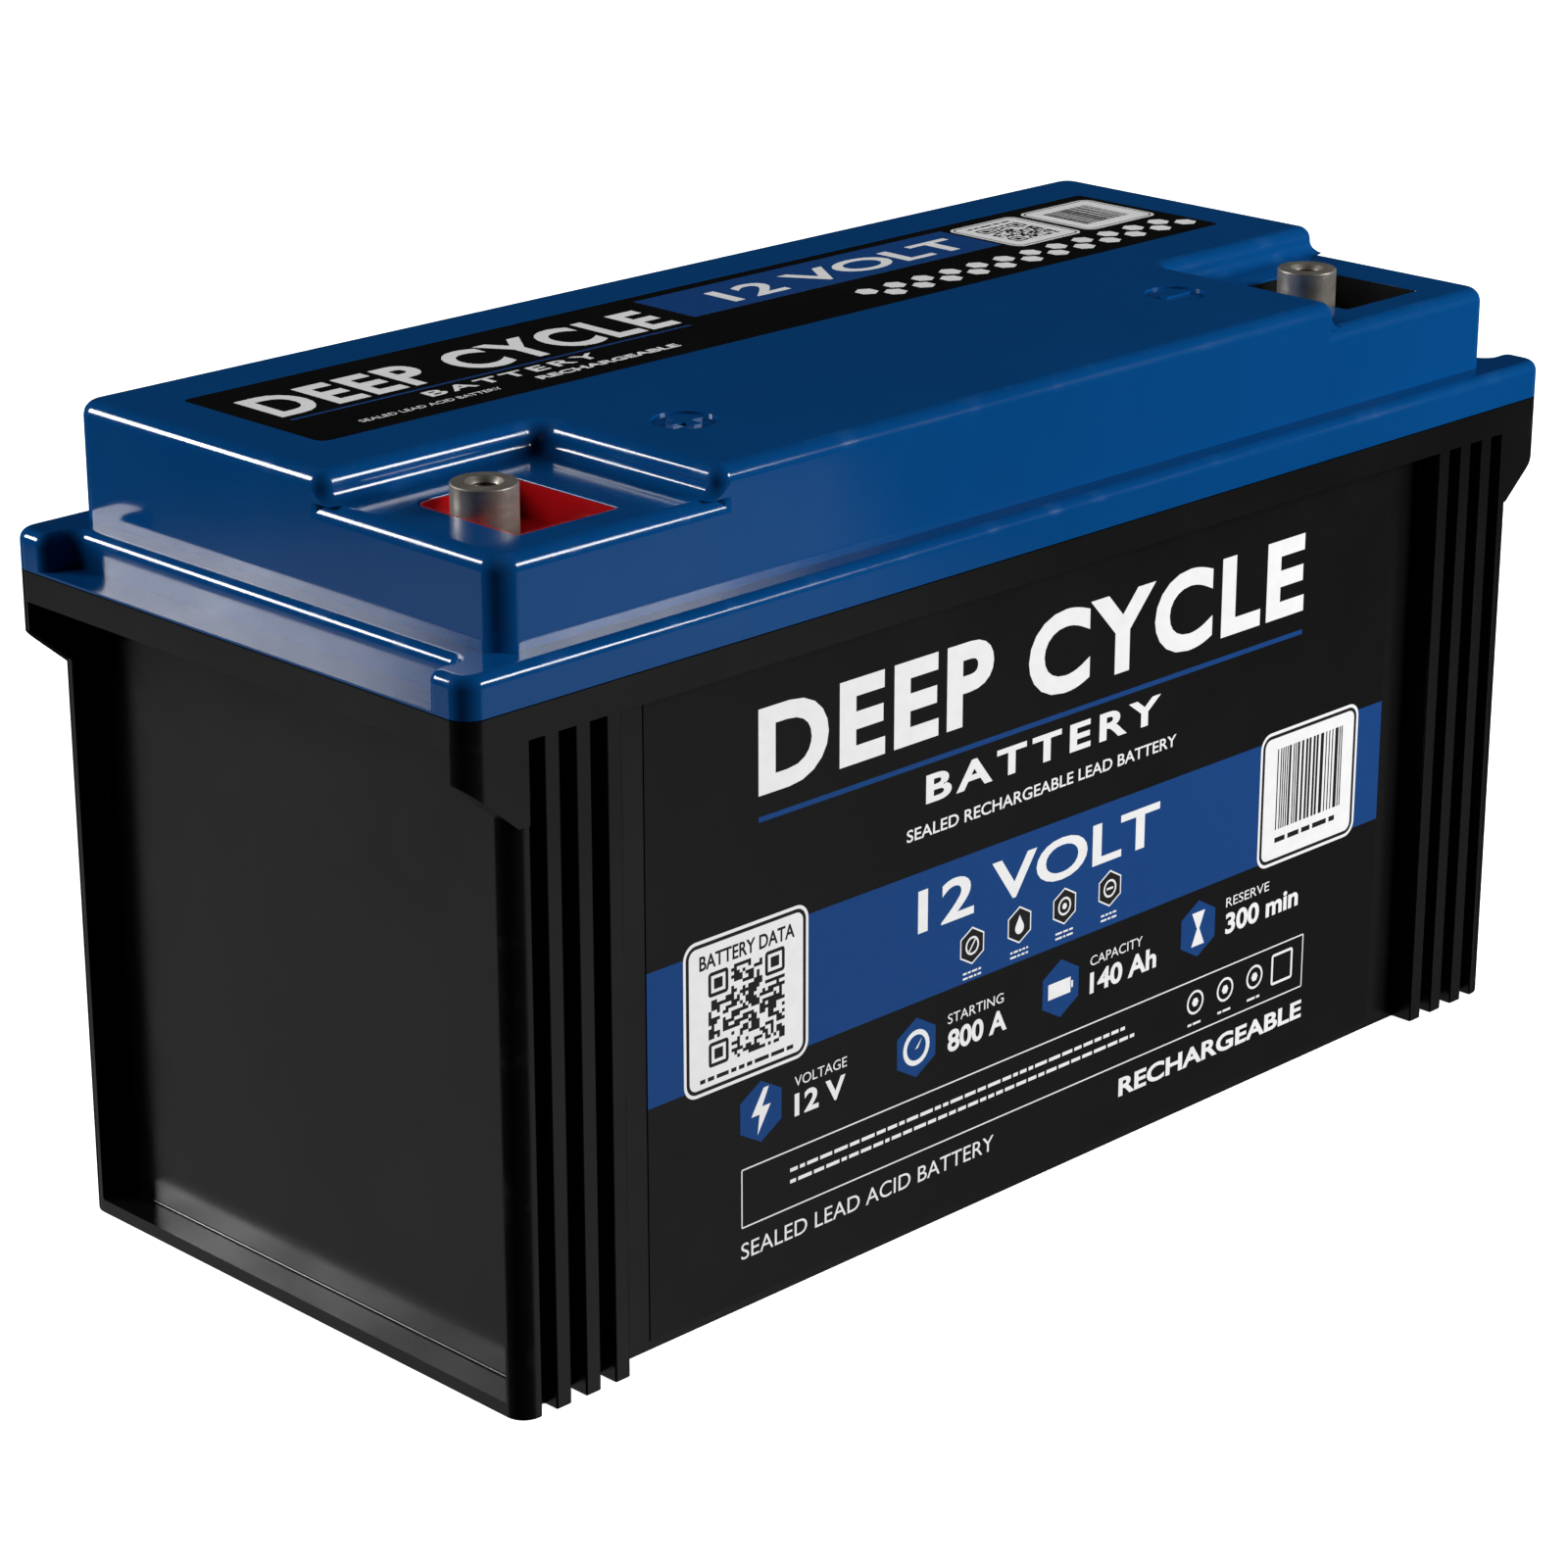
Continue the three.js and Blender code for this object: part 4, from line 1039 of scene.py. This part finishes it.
def front_stripe(art, draw):
    art.bar("blue", (FRONT_LABEL[0], FRONT_LABEL[1], *STRIPE))
    art.letters("white", "12 VOLT", (156.5, 252, 84.5, 96.5), bold=0.02, layer=OVER)
    for u, v, icon in SMALL_ICONS:
        art.hexagon("white", u, v, 5.3, OVER)
        art.hexagon("dark", u, v, 4.8, TOP_INK)
        icon(art, u, v)
        for drop in (7.6, 9.0):
            art.dashes("white", u - 3.4, u + 3.6, v - drop, 0.55, draw, OVER)


def front_cards(art, draw):
    art.framed_card(DATA_CARD, 4.2, 0.9, 3.4, 1.0)
    art.letters("dark", "BATTERY DATA", (78.5, 111.5, 96.9, 100.8), bold=0.02, layer=TOP_INK)
    art.grid_code(DATA_CODE, 27, draw)
    art.dashes("dark", 78.5, 111, 66.8, 1.1, draw, TOP_INK)
    art.framed_card(BAR_CARD, 4.2, 0.9, 3.4, 1.0)
    art.line_code(BAR_CODE, 62, draw)
    art.dashes("dark", BAR_CODE[0], BAR_CODE[1], 70.6, 1.5, draw, TOP_INK)


def front_badges(art):
    for u, v, name, value, symbol in BADGES:
        art.hexagon("blue", u, v, 8.4)
        symbol(art, u, v)
        left = u + BADGE_TEXT
        art.letters("white", name, (left, left + NAME_PITCH * len(name), v + 2.8, v + 5.6))
        art.letters("white", value, (left, left + VALUE_PITCH * len(value), v - 5.4, v + 0.9), bold=0.03)


def front_notice(art, draw):
    art.frame("white", NOTICE, 0.5, 0.4)
    art.dashes("white", 110, 240, 32.7, 1.0, draw)
    art.dashes("white", 110, 244, 29.5, 1.0, draw)
    for step in range(3):
        u, v = NOTICE_RING[0] + NOTICE_PITCH * step, NOTICE_RING[1]
        art.ring("white", art.circle(u, v, 3.6), art.circle(u, v, 2.9))
        art.plate("white", art.circle(u, v, 1.4, 6))
        art.dashes("white", u - 3, u + 3, 25.1, 0.7, draw)
    art.frame("white", (303.5, 313, 26.8, 36.3), 1.0, 0.8)
    art.letters("white", "SEALED LEAD ACID BATTERY", (92.5, 187, 13.9, 18.4))
    art.letters("white", "RECHARGEABLE", (238, 318, 13.0, 18.6), bold=0.03)


def front_artwork():
    draw = random.Random(7)
    face_y = FRONT_LABEL[2]
    art = Artwork(lambda u, v, depth: (u, face_y + INK - depth, v))
    front_heading(art)
    front_stripe(art, draw)
    front_cards(art, draw)
    front_badges(art)
    front_notice(art, draw)
    return art


def top_words(art):
    art.letters("white", TITLE, (44, 180, 117, 137), bold=0.03, spacing=1.12)
    art.bar("blue", (44, 180, 113.4, 114.3))
    art.letters("white", "BATTERY", (83, 141, 106, 111), bold=0.02, spacing=1.3)
    art.letters("white", "SEALED LEAD ACID BATTERY", (55, 101, 99.6, 101.8))
    art.letters("white", "RECHARGEABLE", (114, 163, 99.4, 102.6), bold=0.03)
    art.bar("blue", (187, 309, 119.5, 143.5))
    art.letters("white", "12 VOLT", (207, 303, 124, 137), bold=0.02, layer=OVER)


def top_artwork():
    draw = random.Random(11)
    face_z = TOP_LABEL[5]
    art = Artwork(lambda u, v, depth: (u, v, face_z - INK + depth))
    top_words(art)
    art.framed_card(TOP_DATA_CARD, 3.2, 0.8, 2.6, 0.45)
    art.grid_code(TOP_DATA_CODE, 25, draw)
    art.dashes("dark", TOP_DATA_CODE[0], TOP_DATA_CODE[1], 138, 1.0, draw, TOP_INK)
    art.framed_card(TOP_BAR_CARD, 3.2, 0.8, 2.6, 0.45)
    art.line_code(TOP_BAR_CODE, 60, draw)
    for step in range(DOT_COUNT):
        u = DOTS[0] + DOT_PITCH * step
        art.hexagon("white", u, DOTS[1], DOT_R)
        art.hexagon("white", u + DOT_PITCH / 2, DOTS[1] - DOT_DROP, DOT_R)
    return art


# ---- assembly -----------------------------------------------------------------------------------------
dress_cad_nodes()
piece(build_case(), "case_shell", CASE_PLASTIC.material, replaces=("case",))
piece(build_lid(), "lid_shell", LID_PLASTIC.material, replaces=("lid",))
for side, finish, slot in (("positive", CUP_RED, "cup_red"), ("negative", CUP_BLACK, "cup_black")):
    x, y = TERMINALS[side]
    cup = build_cup(x, y)
    piece(cup, f"cup_lining_{side}", finish.material, replaces=(f"terminal_cup_{side}",))
    stud = build_terminal(x, y)
    metal = TERMINAL_METAL.material
    piece(stud, f"terminal_stud_{side}", metal, replaces=(f"terminal_{side}",))
inks = {"white": INK_WHITE, "blue": INK_BLUE, "dark": INK_DARK}
front_artwork().build("front_print", inks)
top_artwork().build("top_print", inks)

# ---- studio -------------------------------------------------------------------------------------------
scene = bpy.context.scene
scene.view_settings.view_transform = "Standard"

CAMERA_PLACE = (-0.8055, -0.7881, 0.5025)
CAMERA_TILT = 70.018
CAMERA_TURN = -45.01
CAMERA_LENS = 99.6
AIM = Vector((0, 0, 0.15))  # what the lights point at


def make_camera():
    data = bpy.data.cameras.new("camera")
    data.sensor_width = 36.0
    data.lens = CAMERA_LENS
    data.clip_start = 0.05
    data.clip_end = 100.0
    camera = bpy.data.objects.new("camera", data)
    camera.location = CAMERA_PLACE
    camera.rotation_euler = (math.radians(CAMERA_TILT), 0.0, math.radians(CAMERA_TURN))
    scene.collection.objects.link(camera)
    scene.camera = camera


def light_surface(name, verts, faces, finish):
    """Stage mesh in metres that the camera sees, and that the object neither reflects nor is lit by."""
    mesh = bpy.data.meshes.new(name)
    mesh.from_pydata(verts, [], faces)
    mesh.materials.append(finish.material)
    obj = bpy.data.objects.new(name, mesh)
    obj.visible_glossy = False
    obj.visible_diffuse = False
    scene.collection.objects.link(obj)
    return obj


def glowing(name, colour, strength):
    f = Finish(name, Specular_IOR_Level=0.1, Emission_Strength=strength)
    f.shader.inputs["Emission Color"].default_value = colour
    f.link("Base Color", f.mix(f.noise(3.0), grey(0.78), grey(0.82)))
    f.link("Roughness", f.remap(f.noise(40.0), 0.3, 0.7, 0.75, 0.9))
    f.material.cycles.emission_sampling = "NONE"
    return f


def make_floor_and_backdrop(half=30.0, height=14.0, sides=48):
    corners = [(-half, -half, 0), (half, -half, 0), (half, half, 0), (-half, half, 0)]
    light_surface("floor", corners, [[0, 1, 2, 3]], glowing("floor", grey(1.0), 1.0))
    ring = [(math.cos(2 * math.pi * i / sides), math.sin(2 * math.pi * i / sides)) for i in range(sides)]
    verts = [(x * half * 0.95, y * half * 0.95, z) for z in (-1.0, height) for x, y in ring]
    faces = [[i, i + sides, (i + 1) % sides + sides, (i + 1) % sides] for i in range(sides)]
    light_surface("backdrop", verts, faces, glowing("backdrop", grey(1.0), 1.0))


def outward(azimuth, elevation):
    """Direction away from the object: azimuth from +X towards +Y, in degrees."""
    a, e = math.radians(azimuth), math.radians(elevation)
    return Vector((math.cos(a) * math.cos(e), math.sin(a) * math.cos(e), math.sin(e)))


def softbox(name, azimuth, elevation, distance, wide, tall, radiance, glossy=True):
    """Rectangular lamp in metres, facing the object. Reflections see it only if it is glossy."""
    out = outward(azimuth, elevation)
    data = bpy.data.lights.new(name, "AREA")
    data.shape = "RECTANGLE"
    data.size = wide
    data.size_y = tall
    data.energy = radiance * math.pi * wide * tall
    light = bpy.data.objects.new(name, data)
    light.location = AIM + out * distance
    light.rotation_euler = (-out).to_track_quat("-Z", "Y").to_euler()
    light.visible_camera = False
    light.visible_glossy = glossy
    scene.collection.objects.link(light)


def fill_card(name, azimuth, elevation, distance, wide, tall, strength):
    """Dim card that only reflections see: it gives the upright faces their even sheen."""
    out = outward(azimuth, elevation)
    turn = (-out).to_track_quat("-Z", "Y")
    verts = []
    for u, v in ((-1, -1), (1, -1), (1, 1), (-1, 1)):
        verts.append(AIM + out * distance + turn @ Vector((u * wide / 2, v * tall / 2, 0)))
    card = light_surface(name, verts, [[0, 1, 2, 3]], glowing(name, grey(1.0), strength))
    card.visible_glossy = True
    card.visible_camera = False
    card.visible_shadow = False


def make_world():
    world = bpy.data.worlds.new("world")
    world.use_nodes = True
    background = world.node_tree.nodes["Background"]
    background.inputs["Color"].default_value = (0.9, 0.95, 1.0, 1.0)
    background.inputs["Strength"].default_value = 0.006
    scene.world = world


make_camera()
make_floor_and_backdrop()
make_world()
# name, azimuth, elevation, distance, width, height and brightness
softbox("softbox_back_left", 124, 22.7, 5.0, 1.3, 1.2, 24.0)
softbox("softbox_front_right", -56.6, 22.7, 4.0, 1.2, 0.95, 22.0)
softbox("back_left_fill", 124, 9.7, 5.0, 1.3, 1.2, 24.0, glossy=False)
softbox("front_right_fill", -56.6, 9.7, 4.0, 1.2, 0.95, 22.0, glossy=False)
softbox("side_fill", 150, 32, 2.0, 0.8, 0.8, 6.5, glossy=False)
softbox("front_fill", -38, 17, 1.1, 0.4, 0.4, 16.5, glossy=False)
fill_card("card_back_left", 128, -32, 1.5, 0.9, 1.0, 0.29)
fill_card("card_front_right", -62, -32, 1.5, 0.75, 1.0, 0.31)
fill_card("card_far_right", -38, -34, 1.5, 0.6, 1.0, 0.09)
